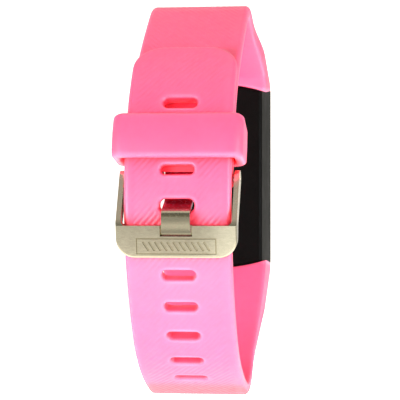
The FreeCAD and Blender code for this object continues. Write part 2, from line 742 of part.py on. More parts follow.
def outer_sides(e):
    c = e.CenterOfMass
    w = (c.y - AY - M[0]) * n[0] + (c.z - AZ - M[1]) * n[1]
    return abs(abs(c.x) - g("frame_width") / 2) < 0.02 and e.Length > 2.0 and c.z - AZ < PIN[1] + 2


fr_obj = fillet_edges("frame_sides", fr_obj, 0.2, outer_sides)
# shallow decoration on the bar: a fine border with slanted strokes inside
FACE_R = R(V(1, 0, 0), -g("bar_deg"))


def on_bar(name, w, h, sx, sv, tilt=0.0):
    """Box 0.1 mm deep in the bar's outer face, centred sx across and sv down from the face's middle."""
    b = doc.addObject("Part::Box", name)
    b.Length, b.Width, b.Height = w, 1.0, h
    p = at(sv, bt + 0.4)
    rot = FACE_R * R(V(0, 1, 0), tilt)
    c = rot.multVec(V(w / 2, 0.5, h / 2))
    b.Placement = FreeCAD.Placement(V(sx, AY + p[0], AZ + p[1]) - c, rot)
    return b


strokes = [on_bar("stroke_%d" % i, 0.32, 1.75, -5.1 + 1.02 * i, 0.72, -32.0) for i in range(11)]
border = [
    on_bar("border_up", 13.4, 0.16, 0, -0.56),
    on_bar("border_down", 13.4, 0.16, 0, 2.0),
    on_bar("border_left", 0.16, 2.4, -6.62, 0.72),
    on_bar("border_right", 0.16, 2.4, 6.62, 0.72),
]
fr_obj = cut("frame_engraved", fr_obj, fuse("engraving", *(strokes + border)))
publish("buckle_frame", fr_obj)

# ------------------------------------------------------------------ buckle tongue
TT = g("tongue_thick")
centre = [
    (PIN[0] - 0.75, PIN[1] - 0.80),
    (PIN[0] - 0.88, PIN[1] - 2.0),
    (PIN[0] - 1.02, PIN[1] - 3.15),
    (-31.95, -0.54),
    (-33.0, -1.03),
    (-34.08, -1.53),
    (-34.92, -1.99),
    (-35.30, -2.66),
    (-35.24, -3.40),
    at(-bh + 0.05, bt - nd + 0.08 + TT / 2),
    at(-1.55, bt - nd + 0.06 + TT / 2),
]
curve = Part.BSplineCurve()
curve.interpolate([V(a, b, 0) for a, b in centre])
first, last = curve.FirstParameter, curve.LastParameter
N = 40
left_pts, right_pts = [], []
for k in range(N + 1):
    u = first + (last - first) * k / N
    p, d = curve.value(u), curve.tangent(u)[0]
    w = TT / 2
    left_pts.append(V(p.x - d.y * w, p.y + d.x * w, 0))
    right_pts.append(V(p.x + d.y * w, p.y - d.x * w, 0))
ls, rs = Part.BSplineCurve(), Part.BSplineCurve()
ls.interpolate(left_pts)
rs.interpolate(right_pts)
tongue = body("tongue_body", (0, AY, AZ))
s = sketch(tongue, "tongue_ring", "YZ_Plane", FreeCAD.Placement(V(PIN[0], PIN[1], 0), R()))
circle(s, 2.9)
pad(tongue, s, "dims.tongue_width", "tongue_ring_pad", midplane=True)
s = sketch(tongue, "tongue_side", "YZ_Plane")
s.addGeometry(
    [
        ls,
        rs,
        Part.LineSegment(left_pts[0], right_pts[0]),
        Part.LineSegment(left_pts[-1], right_pts[-1]),
    ],
    False,
)
pad(tongue, s, "dims.tongue_width", "tongue_pad", midplane=True)
s = sketch(tongue, "tongue_eye", "YZ_Plane", FreeCAD.Placement(V(PIN[0], PIN[1], 0), R()))
circle(s, "dims.bar_tube_d + 0.1")
pocket(tongue, s, 20.0, "tongue_eye_cut", midplane=True)
publish("buckle_tongue", tongue)


# ------------------------------------------------------------------ spring bars
def spring_bar(prefix, y, z, tube_half, head_at, reach):
    """A tube with rolled-in ends, two headed tips and the spring between them, along X."""
    outer_c = cyl(prefix + "_tube_out", "dims.bar_tube_d / 2", 2 * tube_half, (-tube_half, y, z))
    bore = cyl(prefix + "_tube_bore", "dims.bar_tube_bore / 2", 2 * tube_half - 0.6, (-tube_half + 0.3, y, z))
    lip = cyl(prefix + "_tube_lip", "dims.tip_d / 2 + 0.03", 2 * tube_half + 2, (-tube_half - 1, y, z))
    publish(prefix + "_tube", cut(prefix + "_tube_cut", outer_c, bore, lip))
    for side, sg in (("left", -1), ("right", 1)):
        x0, x1 = sorted((sg * head_at, sg * reach))
        stem = cyl(prefix + "_" + side + "_stem", "dims.tip_d / 2", x1 - x0, (x0, y, z))
        hx0, hx1 = sorted((sg * head_at, sg * (tube_half - 0.35)))
        head = cyl(prefix + "_" + side + "_head", "dims.tip_head_d / 2", hx1 - hx0, (hx0, y, z))
        tip_ = fuse(prefix + "_" + side + "_solid", stem, head)
        tip_ = fillet_edges(
            prefix + "_" + side + "_round",
            tip_,
            0.15,
            lambda e, r=reach: abs(abs(e.CenterOfMass.x) - r) < 0.01 and e.BoundBox.XLength < 0.01,
        )
        publish(prefix + "_tip_" + side, tip_)
    length = 2 * head_at - 0.04
    helix = doc.addObject("Part::Helix", prefix + "_helix")
    helix.setExpression("Radius", "dims.spring_mean_r")
    helix.Height = length - g("spring_wire")
    helix.Pitch = helix.Height.Value / round(helix.Height.Value / 0.85)
    helix.Placement = FreeCAD.Placement(V(-length / 2 + g("spring_wire") / 2, y, z), R(V(0, 1, 0), 90))
    wire = doc.addObject("Part::Circle", prefix + "_wire")
    wire.setExpression("Radius", "dims.spring_wire / 2")
    # the helix starts at its own +X, which is the frame's -Z once it lies along X
    wire.Placement = FreeCAD.Placement(
        V(-length / 2 + g("spring_wire") / 2, y, z - g("spring_mean_r")), R(V(1, 0, 0), 90)
    )
    sweep = doc.addObject("Part::Sweep", prefix + "_spring_sweep")
    sweep.Sections = [wire]
    sweep.Spine = (helix, ["Edge1"])
    sweep.Solid = True
    sweep.Frenet = True
    doc.recompute()
    publish(prefix + "_spring", sweep)


ear_out = g("frame_width") / 2
spring_bar("buckle_bar", PY, PZ, SW - 0.1, 7.3, ear_out - 0.05)
spring_bar("top_bar", LUG_Y, bars["top"], g("recess_width") / 2 - 0.2, 5.2, 8.15)
spring_bar("bottom_bar", LUG_Y, bars["bottom"], g("recess_width") / 2 - 0.2, 5.2, 8.15)

# ------------------------------------------------------------------ case
case = body("case_frame", (0, CASE_Y, MZ))
s = sketch(case, "case_outline", "XZ_Plane")
arched(s, HW, HL)
pad(case, s, "dims.case_depth", "case_pad", taper="-dims.module_draft")
s = sketch(case, "glass_seat", "XZ_Plane")
arched(s, HW, HL, grow=-g("rim"), corner=1.6)
pocket(case, s, "dims.glass_recess + 0.05", "glass_seat_cut", reverse=True)
s = sketch(case, "cavity", "XZ_Plane")
rectangle(s, "dims.cavity_width", "dims.cavity_length")
pocket(case, s, 20.0, "cavity_cut", reverse=True)
case_obj = case
tools = []
for side, sgn in (("top", 1), ("bottom", -1)):
    tools.append(box(side + "_socket", ("dims.recess_width", "dims.recess_thick", 8.0), (0, LUG_Y, MZ + sgn * (HL - g("recess_depth") + 4.0))))
    for sg in (-1, 1):
        x0 = min(sg * (g("recess_width") / 2 - 0.5), sg * 8.3)
        tools.append(cyl(side + "_lug_hole_%d" % (sg + 1), "dims.tip_d / 2 + 0.04", 8.3 - (g("recess_width") / 2 - 0.5), (x0, LUG_Y, bars[side])))
case_obj = cut("case_sockets", case_obj, *tools)
BACK_SEAT = CASE_Y - g("case_depth")
# gasket groove round the back opening
gw, gl = g("cavity_width") / 2 + 0.75, g("cavity_length") / 2 + 0.38


def frame_solid(name, w, l, wall, depth, y0):
    a = box(name + "_o", (2 * w, depth, 2 * l), (0, y0 + depth / 2, MZ))
    b = box(name + "_i", (2 * (w - wall), depth + 1, 2 * (l - wall)), (0, y0 + depth / 2, MZ))
    return cut(name, a, b)


case_obj = cut("case_grooved", case_obj, frame_solid("gasket_groove", gw, gl + 0.35, 0.55, 0.45, BACK_SEAT))


def front_rim(e):
    return abs(e.BoundBox.YMax - CASE_Y) < 0.01 and e.BoundBox.YLength < 0.01 and max(
        abs(e.BoundBox.XMax), abs(e.BoundBox.XMin)
    ) > HW - 0.05 and e.BoundBox.XLength < 0.01


case_obj = fillet_edges("case_soft", case_obj, 0.2, front_rim)
# shallow seat for the touch electrode under the glass
TE = (0, CASE_Y - g("glass_recess") - 0.05, MZ - 15.2)
case_obj = cut("case_touch_seat", case_obj, cyl("touch_seat", 2.6, 0.3, (TE[0], TE[1] - 0.28, TE[2]), "Y"))
publish("case_body", case_obj)
publish("case_gasket", frame_solid("gasket_ring", gw - 0.03, gl + 0.32, 0.49, 0.43, BACK_SEAT + 0.01))

# ------------------------------------------------------------------ cover glass, display, touch electrode
glass = body("glass_body", (0, CASE_Y - g("glass_recess"), MZ))
s = sketch(glass, "glass_outline", "XZ_Plane")
arched(s, HW, HL, grow=-g("rim") - 0.06, corner=1.55)
pad(glass, s, "dims.glass_thick", "glass_pad", reverse=True)


def glass_front(e):
    y = CASE_Y - g("glass_recess") + g("glass_thick")
    return abs(e.BoundBox.YMin - y) < 0.01


publish("cover_glass", fillet_edges("glass_soft", glass, 0.42, glass_front))
gy = CASE_Y - g("glass_recess")
disp = body("display_body", (0, gy - 0.1, MZ + 0.1))
s = sketch(disp, "display_outline", "XZ_Plane")
rectangle(s, "dims.display_width", "dims.display_length")
pad(disp, s, "dims.display_thick", "display_pad")
publish("display_panel", disp)
adh = cut(
    "adhesive",
    box("adhesive_o", (HW * 2 - 3.2, 0.04, 27.6), (0, gy - 0.025, MZ)),
    box("adhesive_i", ("dims.cavity_width + 0.1", 1.0, 25.5), (0, gy, MZ)),
)
publish("touch_electrode", cyl("touch_disc", 2.5, 0.2, (TE[0], TE[1] - 0.22, TE[2]), "Y"))
doc.removeObject("adhesive")

# ------------------------------------------------------------------ main board and what it carries
board_y = gy - 0.1 - g("display_thick") - 0.7
pcb = body("board_body", (0, board_y, MZ))
s = sketch(pcb, "board_outline", "XZ_Plane")
rectangle(s, "dims.board_width", "dims.board_length")
pad(pcb, s, "dims.board_thick", "board_pad")
publish("main_board", pcb)
by = board_y - g("board_thick")
publish("processor", box("processor_chip", (5.6, 0.8, 5.6), (-3.4, by - 0.4, MZ + 7.0)))
publish("motion_sensor", box("motion_sensor_chip", (2.6, 0.7, 2.6), (4.2, by - 0.35, MZ + 8.6)))
publish("antenna", box("antenna_chip", (6.4, 0.7, 1.4), (1.4, by - 0.35, MZ + 11.4)))
display_flex_y = gy - 0.1 - g("display_thick")
publish("display_connector", box("display_connector_block", (6.4, 0.62, 1.6), (0, display_flex_y - 0.35, MZ - 10.6)))
bat_y = by - 0.15 - g("battery_thick")
batt = body("battery_body", (0, by - 0.85, MZ + 1.6))
s = sketch(batt, "battery_outline", "XZ_Plane")
rectangle(s, "dims.battery_width", "dims.battery_length")
pad(batt, s, "dims.battery_thick", "battery_pad")
doc.recompute()
bt_obj = fillet_edges(
    "battery_soft", batt, 0.6, lambda e: e.BoundBox.ZLength > 10 or e.BoundBox.XLength > 10
)
publish("battery_cell", bt_obj)
# vibration motor: can with a shaft and an off-centre weight that spins
mo_y, mo_z = by - 0.15, MZ - 9.6
can = cyl("motor_can", "dims.motor_d / 2", "dims.motor_thick", (0, mo_y - g("motor_thick"), mo_z), "Y")
hollow = cyl("motor_hollow", "dims.motor_d / 2 - 0.25", "dims.motor_thick - 0.5", (0, mo_y - g("motor_thick") + 0.25, mo_z), "Y")
can = cut("motor_can_cut", can, hollow)
shaft = cyl("motor_shaft_rod", 0.3, "dims.motor_thick - 0.5", (0, mo_y - g("motor_thick") + 0.25, mo_z), "Y")
publish("motor_can", can)
publish("motor_shaft", shaft)
disc = cyl("weight_disc", "dims.motor_d / 2 - 0.5", 1.1, (0, mo_y - g("motor_thick") / 2 - 0.55, mo_z), "Y")
halfbox = box("weight_off", (8, 4, 4), (0, mo_y - g("motor_thick") / 2, mo_z + 2.75))
weight = cut("weight_half", disc, halfbox)
hub = cyl("weight_hub", 0.85, 1.1, (0, mo_y - g("motor_thick") / 2 - 0.55, mo_z), "Y")
weight = fuse("weight_hubbed", weight, hub)
weight = cut("weight_bored", weight, cyl("weight_bore", 0.33, 4, (0, mo_y - g("motor_thick") / 2 - 2, mo_z), "Y"))
publish("motor_weight", weight)

# ------------------------------------------------------------------ back cover with the optical sensor and the contacts
hw_b, hl_b = HW - g("case_depth") * tan_draft, HL - g("case_depth") * tan_draft
cover = body("cover_body", (0, BACK_SEAT, MZ))
s = sketch(cover, "cover_outline", "XZ_Plane")
arched(s, hw_b, hl_b)
pad(cover, s, "dims.cover_depth", "cover_pad", taper="-dims.module_draft")


def skin_edges(e):
    return abs(e.BoundBox.YMin - FACE_Y) < 0.01 and e.BoundBox.YLength < 0.02


cov = fillet_edges("cover_soft", cover, 0.7, skin_edges)
WZ = MZ + 2.5
wr = g("window_d") / 2
tools = [
    cyl("window_seat", "dims.window_d / 2", 0.9, (0, FACE_Y - 0.05, WZ), "Y"),
    cyl("window_hole", "dims.window_d / 2 - 0.7", 4.0, (0, FACE_Y - 0.5, WZ), "Y"),
]
CONTACTS = [(-3.0, MZ - 10.4), (3.0, MZ - 10.4)]
for i, (cx, cz) in enumerate(CONTACTS):
    tools.append(cyl("contact_hole_%d" % i, "dims.contact_d / 2", 4.0, (cx, FACE_Y - 0.5, cz), "Y"))
publish("back_cover", cut("cover_cut", cov, *tools))
lens = cyl("lens_disc", "dims.window_d / 2 - 0.03", 0.8, (0, FACE_Y, WZ), "Y")
lens = fillet_edges("lens_soft", lens, 0.2, lambda e: abs(e.BoundBox.YMax - FACE_Y) < 0.01 and e.BoundBox.XLength > 5)
publish("sensor_window", lens)
# small board behind the window, with two green emitters and the light receiver
sb_y = BACK_SEAT + 0.1
publish("sensor_board", box("sensor_board_plate", (9.6, 0.5, 9.0), (0, sb_y + 0.25, WZ)))
publish(
    "sensor_leds",
    group("sensor_led_pair", *[box("led_%d" % i, (1.1, 0.75, 1.3), (dx, sb_y - 0.38, WZ)) for i, dx in enumerate((-2.3, 2.3))]),
)
publish("photodiode", box("photodiode_chip", (2.2, 0.75, 2.6), (0, sb_y - 0.38, WZ)))
pins = []
for i, (cx, cz) in enumerate(CONTACTS):
    stem = cyl("contact_stem_%d" % i, "dims.contact_d / 2 - 0.03", 2.3, (cx, FACE_Y - 0.1, cz), "Y")
    pins.append(fillet_edges("contact_soft_%d" % i, stem, 0.25, lambda e: abs(e.BoundBox.YMax - FACE_Y + 0.1) < 0.01))
publish("charging_contacts", group("contact_pair", *pins))

# ------------------------------------------------------------------ check and write
doc.recompute()
bad = [o.Name + str(o.State) for o in doc.Objects if "Invalid" in o.State or "Error" in o.State]
if bad:
    raise RuntimeError("failed objects: " + ", ".join(bad))
os.makedirs("parts", exist_ok=True)
total = FreeCAD.BoundBox()
for name in sorted(OUT):
    shape = OUT[name].Shape
    if shape.isNull() or not shape.isValid() or not shape.Solids:
        raise RuntimeError(name + " is not a valid solid")
    if any(x.Volume <= 0 for x in shape.Solids):
        raise RuntimeError(name + " has a solid of no volume")
for old in os.listdir("parts"):
    if old.endswith(".step") and old[:-5] not in OUT:
        os.remove(os.path.join("parts", old))
for name, obj in sorted(OUT.items()):
    shape = obj.Shape
    total.add(shape.BoundBox)
    shape.exportStep("parts/" + name + ".step")
    print("%-22s %2d solid  %9.3f mm3" % (name, len(shape.Solids), shape.Volume))
print("box", [round(v, 3) for v in (total.XMin, total.XMax, total.YMin, total.YMax, total.ZMin, total.ZMax)])
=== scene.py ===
"""Looks of the fitness tracker band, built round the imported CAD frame. Lengths below are in
millimetres in the row frame unless a name says otherwise; M turns them into metres."""

import math

import bmesh
import bpy
import numpy as np
from mathutils import Matrix, Vector


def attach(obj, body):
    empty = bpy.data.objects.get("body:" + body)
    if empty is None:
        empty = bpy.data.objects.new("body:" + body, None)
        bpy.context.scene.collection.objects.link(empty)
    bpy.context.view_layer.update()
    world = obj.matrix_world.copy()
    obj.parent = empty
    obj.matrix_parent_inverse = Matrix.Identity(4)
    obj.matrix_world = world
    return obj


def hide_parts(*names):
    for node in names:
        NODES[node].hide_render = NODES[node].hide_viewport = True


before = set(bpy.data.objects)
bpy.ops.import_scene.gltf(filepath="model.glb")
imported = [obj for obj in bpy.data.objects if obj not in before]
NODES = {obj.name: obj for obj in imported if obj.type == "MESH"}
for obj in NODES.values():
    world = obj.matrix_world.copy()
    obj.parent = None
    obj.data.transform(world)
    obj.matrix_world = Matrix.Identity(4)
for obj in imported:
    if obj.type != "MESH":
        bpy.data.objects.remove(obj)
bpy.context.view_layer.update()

M = 0.001

# ------------------------------------------------------------------ the frame's own dimensions
AY, AZ = 3.134, 35.622  # centre of the buckle-side arc
T = 2.2
RO = 31.7
TI, TO = RO + 0.15, RO + 0.15 + T
TIP, TIP_R = 52.0, 5.4
SW, RW = 9.0, 10.1
CASE_Y, CASE_D, COVER_D = 32.034, 8.6, 1.8
MZ, HL, END_R = 40.328, 19.0, 33.0
DRAFT = math.tan(math.radians(5.0))
ROOT_Y, BACK_Y = CASE_Y + 0.2 - AY, CASE_Y - CASE_D - COVER_D - AY
PIN_DEG, PIN_R, BARREL = 6.8, 30.1, 1.6
SLOTS = [28.95 - 10.15 * k for k in range(10)]
# half length, half height and corner of each slot's throat; those near the tip and the tongue's are roomiest
SLOT_SIZE = [(2.95, 1.0, 0.9)] * 2 + [(2.86, 0.86, 0.8), (2.95, 1.08, 1.0)] + [(2.86, 0.86, 0.8)] * 6
EDGE, EDGE_IN = 0.85, 0.5  # rounding of the silicone's long edges, outside and skin side
RIM = 0.45  # rounding of the slots' rims


# ------------------------------------------------------------------ side profiles
class Path:
    """Tangent lines and arcs; evaluates any point of any piece by its fraction."""

    def __init__(self, x, z, heading):
        self.p, self.a, self.items = (x, z), math.radians(heading), []

    def _add(self, kind, data, length, end, a):
        self.items.append((kind, data, length))
        self.p, self.a = end, a
        return self

    def line(self, length):
        x, z = self.p
        end = (x + length * math.cos(self.a), z + length * math.sin(self.a))
        return self._add("l", (x, z, self.a), length, end, self.a)

    def to(self, x, z):
        x0, z0 = self.p
        a = math.atan2(z - z0, x - x0)
        return self._add("l", (x0, z0, a), math.hypot(x - x0, z - z0), (x, z), a)

    def turn(self, radius, degrees):
        s = 1 if degrees > 0 else -1
        x, z = self.p
        cx, cz = x - s * radius * math.sin(self.a), z + s * radius * math.cos(self.a)
        b = self.a + math.radians(degrees)
        end = (cx + s * radius * math.sin(b), cz - s * radius * math.cos(b))
        return self._add("a", (cx, cz, self.a, s, radius), abs(math.radians(degrees)) * radius, end, b)

    def at(self, i, f):
        kind, d, length = self.items[i]
        if kind == "l":
            x, z, a = d
            return x + f * length * math.cos(a), z + f * length * math.sin(a), a
        cx, cz, a, s, r = d
        b = a + s * f * length / r
        return cx + s * r * math.sin(b), cz - s * r * math.cos(b), b


def reach(x, heading, radius, turn, target):
    a = math.radians(heading)
    s = 1 if turn > 0 else -1
    b = a + math.radians(turn)
    return (target - x - s * radius * (math.sin(b) - math.sin(a))) / math.cos(a)


def on_arc(r, deg):
    a = math.radians(deg)
    return -r * math.cos(a), r * math.sin(a)


def lower_paths():
    out = Path(*on_arc(TO, TIP), -(90 + TIP))
    inn = Path(*on_arc(TI, TIP), -(90 + TIP))
    out.turn(TO, TIP + 22)
    inn.turn(TI, TIP + 22)
    for r, d in ((52.0, 14.0), (24.0, 24.0), (45.0, 10.0)):
        out.turn(r, d)
        inn.turn(r - T, d)
    out.line(3.2).turn(12.0, 64.0).line(10.6).turn(20.0, -14.0)
    out.line(reach(out.p[0], 30.0, 3.0, 60.0, ROOT_Y)).turn(3.0, 60.0).to(ROOT_Y, -8.0)
    inn.line(3.2).turn(12.0 - T, 64.0).line(5.6).turn(30.0, 10.0)
    inn.line(reach(inn.p[0], 54.0, 3.0, 36.0, BACK_Y)).turn(3.0, 36.0).to(BACK_Y, -8.0)
    return out, inn


def upper_paths():
    a = math.radians(PIN_DEG)
    px, pz = -PIN_R * math.cos(a), PIN_R * math.sin(a)
    dx, dz = -math.sin(a), -math.cos(a)  # from the pin down along the arc
    bx, bz = px + BARREL * dx, pz + BARREL * dz
    out = Path(bx, bz, 180 - PIN_DEG)
    out.turn(BARREL, -90.0)
    inn = Path(bx, bz, -PIN_DEG)
    inn.turn(BARREL, 90.0)
    psi = math.degrees(math.acos((PIN_R**2 + BARREL**2 - (RO - T) ** 2) / (2 * PIN_R * BARREL)))
    meet = PIN_DEG + math.degrees(math.asin(BARREL * math.sin(math.radians(psi)) / (RO - T)))
    out.turn(RO, -(meet - PIN_DEG))
    inn.turn(BARREL, psi)
    inn.p, inn.a = on_arc(RO - T, meet), math.radians(90 - meet)
    out.turn(RO, -(50 - meet))
    inn.turn(RO - T, -(50 - meet))
    c32, c40 = math.cos(math.radians(32)), math.cos(math.radians(40))
    big = (35.8 - 9.0 * (1 - c32) - out.p[1]) / (c32 - c40)
    out.turn(big, -8.0).turn(9.0, -52.0).turn(180.0, -4.0)
    out.line(reach(out.p[0], -24.0, 3.0, -66.0, ROOT_Y)).turn(3.0, -66.0).to(ROOT_Y, 14.0)
    inn.turn(big - T, -8.0).turn(9.0 - T, -52.0).turn(60.0, -12.0)
    inn.line(reach(inn.p[0], -32.0, 3.0, -58.0, BACK_Y)).turn(3.0, -58.0).to(BACK_Y, 14.0)
    return out, inn


def smooth(v, a, b):
    t = np.clip((v - a) / (b - a), 0, 1)
    return t * t * (3 - 2 * t)


def half_width(y):
    """Half width of the straps at row-frame y."""
    return SW + (RW - SW) * smooth(y, AY + 5.0, AY + 17.0)


def round_drop(d, r):
    """How far a surface has dropped at distance d from an edge that is rounded to r."""
    e = np.clip(r - d, 0, r)
    return r - np.sqrt(np.maximum(r * r - e * e, 0))


def slot_distance(x, y, z):
    """Distance in the strap's surface to the nearest adjustment slot's outline, negative inside."""
    best = np.full(x.shape, 50.0)
    for deg, (hl, hh, r) in zip(SLOTS, SLOT_SIZE):
        a = math.radians(deg)
        t = y * math.sin(a) + z * math.cos(a)
        n = -y * math.cos(a) + z * math.sin(a)
        qx, qt = np.abs(x) - (hl - r), np.abs(t) - (hh - r)
        d = np.hypot(np.maximum(qx, 0), np.maximum(qt, 0)) + np.minimum(np.maximum(qx, qt), 0) - r
        best = np.where((n > 15) & (d < best), d, best)
    return best


def marched(total, step, fine, spots):
    """Rows along a path: step apart, and finer close to the spots given as (from, to)."""
    s, rows = 0.0, []
    while s < total:
        rows.append(s)
        near = any(a - step <= s <= b for a, b in spots)
        s += fine if near else step
    rows.append(total)
    return np.array(rows)


def columns(step, fine):
    """Interior column positions on a strap of half width SW, from -(SW-EDGE) to SW-EDGE."""
    w, x, xs = SW - EDGE, 0.0, []
    while x < w - 0.05:
        xs.append(x)
        x += fine if 2.75 <= x <= 3.6 else step
    xs.append(w)
    xs = np.array(xs)
    return np.concatenate([-xs[:0:-1], xs])


def zipper(a, b, xa, xb):
    """Triangles between two rows of vertices that run the same way in x."""
    faces, i, j = [], 0, 0
    while i < len(a) - 1 or j < len(b) - 1:
        if j == len(b) - 1 or (i < len(a) - 1 and xa[i + 1] <= xb[j + 1]):
            faces.append((a[i], a[i + 1], b[j]))
            i += 1
        else:
            faces.append((a[i], b[j + 1], b[j]))
            j += 1
    return faces


RIB_PITCH, RIB_DEEP = 0.80, 0.07


def ribs(x, s, lean):
    """Height of the fine diagonal ribs at x across and s along the strap, 0 on top to 1 in a groove."""
    a = math.radians(49.0)
    u = (x * math.sin(a) + lean * s * math.cos(a)) / RIB_PITCH
    wave = 0.5 - 0.5 * np.cos(2 * math.pi * u)
    return wave**1.4


def strap(name, out, inn, sides, lean, tip=None, clamp=None, step=0.24):
    """A closed silicone strap. sides is +1 if the path turns left round the wrist."""
    lengths = [i[2] for i in out.items]
    ends = np.concatenate([[0], np.cumsum(lengths)])
    total = ends[-1]
    spots = []
    if tip:
        spots.append((0, 0.6))
        for deg, (_, hh, _) in zip(SLOTS, SLOT_SIZE):
            a = math.radians(deg)
            ss = np.arange(0, total, 0.05)
            tt = []
            for s in ss:
                i = min(int(np.searchsorted(ends, s, "right")) - 1, len(lengths) - 1)
                y, z, _ = out.at(i, (s - ends[i]) / lengths[i])
                n = -y * math.cos(a) + z * math.sin(a)
                tt.append(y * math.sin(a) + z * math.cos(a) if n > 15 else 99)
            tt = np.array(tt)
            for edge in (-hh, hh):
                k = int(np.argmin(np.abs(tt - edge)))
                lo, hi = (ss[k] - 0.5, ss[k] + 0.1) if edge > 0 else (ss[k] - 0.1, ss[k] + 0.5)
                spots.append((lo, hi))
    else:
        spots.append((0, 3.0))
    spots.append((total - 6.0, total - 0.6))
    rows = marched(total, step, 0.09, spots)
    if not tip:
        rows[0] = 0.05
    O, I = [], []
    for s in rows:
        i = min(int(np.searchsorted(ends, s, "right")) - 1, len(lengths) - 1)
        f = (s - ends[i]) / lengths[i]
        O.append(out.at(i, f))
        I.append(inn.at(i, f))
    O, I = np.array(O), np.array(I)
    arc = math.pi / 2 * np.arange(7) / 6
    verts, grids = [], []
    for k, (P, cols) in enumerate(((O, columns(0.19, 0.09)), (I, columns(0.9, 0.9)))):
        y, z, a = P.T
        edge = EDGE if k == 0 else EDGE_IN
        inset = edge * (1 - np.cos(arc))  # 0 at the side wall
        nrm = np.stack([np.sin(a), -np.cos(a)], 1) * sides * (1 if k == 0 else -1)
        w = half_width(y + AY)
        if tip:
            e = np.clip(TIP_R - rows, 0, TIP_R)
            w = w - TIP_R + np.sqrt(np.maximum(TIP_R**2 - e**2, 0))
        W = w[:, None]
        scale = np.maximum(W - edge, 0.2) / (SW - EDGE)
        mid = cols[None, :] * scale
        right = W - inset[None, ::-1][:, 1:]
        X = np.concatenate([-right[:, ::-1], mid, right], 1)
        Y = np.repeat(y[:, None], X.shape[1], 1)
        Z = np.repeat(z[:, None], X.shape[1], 1)
        S = np.repeat(rows[:, None], X.shape[1], 1)
        full = half_width(y + AY)[:, None]
        d = full - np.abs(X)
        if tip:
            d = np.minimum(d, S)
            qx, qs = np.abs(X) - (full - TIP_R), TIP_R - S
            d = np.where((qx > 0) & (qs > 0), TIP_R - np.hypot(qx, qs), d)
        d = np.maximum(d, 0)
        drop = round_drop(d, edge)
        if tip:
            ds = slot_distance(X, Y, Z)
            drop = drop + round_drop(np.maximum(ds, 0), RIM)
        if k == 0:
            mask = smooth(d, 1.2, 2.0)
            if tip:
                mask = mask * smooth(ds, 0.7, 1.3)
            else:
                mask = mask * smooth(S, 15.0, 19.0)
            drop = drop + RIB_DEEP * ribs(X, S, lean) * mask
        yz = np.stack([Y, Z], 2) - nrm[:, None, :] * drop[:, :, None]
        xyz = np.stack([X, yz[..., 0] + AY, yz[..., 1] + AZ], 2)
        if clamp:
            delta = (CASE_Y - xyz[..., 1]) * DRAFT
            end = (HL - END_R) + np.sqrt((END_R - delta) ** 2 - xyz[..., 0] ** 2) + 0.07
            dist = clamp * (xyz[..., 2] - MZ) - end
            rooted = xyz[..., 1] > AY + BACK_Y - 2.5
            back = np.where(rooted, round_drop(np.maximum(dist, 0), 0.22), 0)
            xyz[..., 1] -= back * nrm[:, None, 0]
            xyz[..., 2] -= back * nrm[:, None, 1]
        base = sum(len(v) for v in verts)
        grids.append(np.arange(xyz.shape[0] * xyz.shape[1]).reshape(xyz.shape[:2]) + base)
        verts.append(xyz.reshape(-1, 3))
    V = np.concatenate(verts)
    go, gi = grids
    faces = []

    def sheet(g, flip):
        a, b, c, d_ = g[:-1, :-1], g[:-1, 1:], g[1:, 1:], g[1:, :-1]
        q = np.stack([a, b, c, d_] if not flip else [a, d_, c, b], -1).reshape(-1, 4)
        return [tuple(r) for r in q.tolist()]

    faces += sheet(go, sides > 0) + sheet(gi, sides < 0)
    for c, flip in ((0, sides > 0), (-1, sides < 0)):
        a, b, e, f = go[:-1, c], go[1:, c], gi[1:, c], gi[:-1, c]
        q = np.stack([a, b, e, f] if not flip else [a, f, e, b], -1)
        faces += [tuple(r) for r in q.tolist()]
    for r, flip in ((0, sides < 0), (-1, sides > 0)):
        tri = zipper(go[r].tolist(), gi[r].tolist(), V[go[r], 0], V[gi[r], 0])
        faces += tri if flip else [t[::-1] for t in tri]
    return mesh_object(name, V, faces)


def module_cutter(side):
    """The module's drafted, round-ended outline as a solid that trims a strap's end."""
    xs = np.linspace(-13, 13, 53)
    V = []
    for y in (18.0, 36.0):
        end = (HL - END_R) + np.sqrt((END_R - (CASE_Y - y) * DRAFT) ** 2 - xs**2) + 0.06
        V += [(x, y, MZ + side * e) for x, e in zip(xs, end)]
        V += [(13, y, MZ + side * 9.0), (-13, y, MZ + side * 9.0)]
    n = len(xs) + 2
    F = [tuple(range(n)), tuple(range(n, 2 * n))[::-1]]
    F += [(i, n + i, n + (i + 1) % n, (i + 1) % n) for i in range(n)]
    return mesh_object("module_cutter", np.array(V), F)


def mesh_object(name, V, faces, merge=0.0):
    me = bpy.data.meshes.new(name)
    me.from_pydata((np.asarray(V) * M).tolist(), [], faces)
    bm = bmesh.new()
    bm.from_mesh(me)
    if merge:
        bmesh.ops.remove_doubles(bm, verts=bm.verts, dist=merge * M)
        bmesh.ops.dissolve_degenerate(bm, edges=bm.edges, dist=0.001 * M)
    bmesh.ops.recalc_face_normals(bm, faces=bm.faces)
    bm.to_mesh(me)
    bm.free()
    me.validate()
    ob = bpy.data.objects.new(name, me)
    bpy.context.scene.collection.objects.link(ob)
    return ob


def apply_modifiers(ob):
    dg = bpy.context.evaluated_depsgraph_get()
    me = bpy.data.meshes.new_from_object(ob.evaluated_get(dg))
    ob.modifiers.clear()
    old = ob.data
    ob.data = me
    bpy.data.meshes.remove(old)
    me.name = ob.name


def carve(ob, cutter):
    """Boolean difference, applied. The cutter is removed."""
    before = len(ob.data.polygons)
    mod = ob.modifiers.new("cut", "BOOLEAN")
    mod.operation, mod.object, mod.solver = "DIFFERENCE", cutter, "MANIFOLD"
    dg = bpy.context.evaluated_depsgraph_get()
    got = len(ob.evaluated_get(dg).data.polygons)
    if got == before or got == 0:
        mod.solver = "EXACT"
    apply_modifiers(ob)
    bpy.data.objects.remove(cutter)
    print("carved", ob.name, before, "->", len(ob.data.polygons))


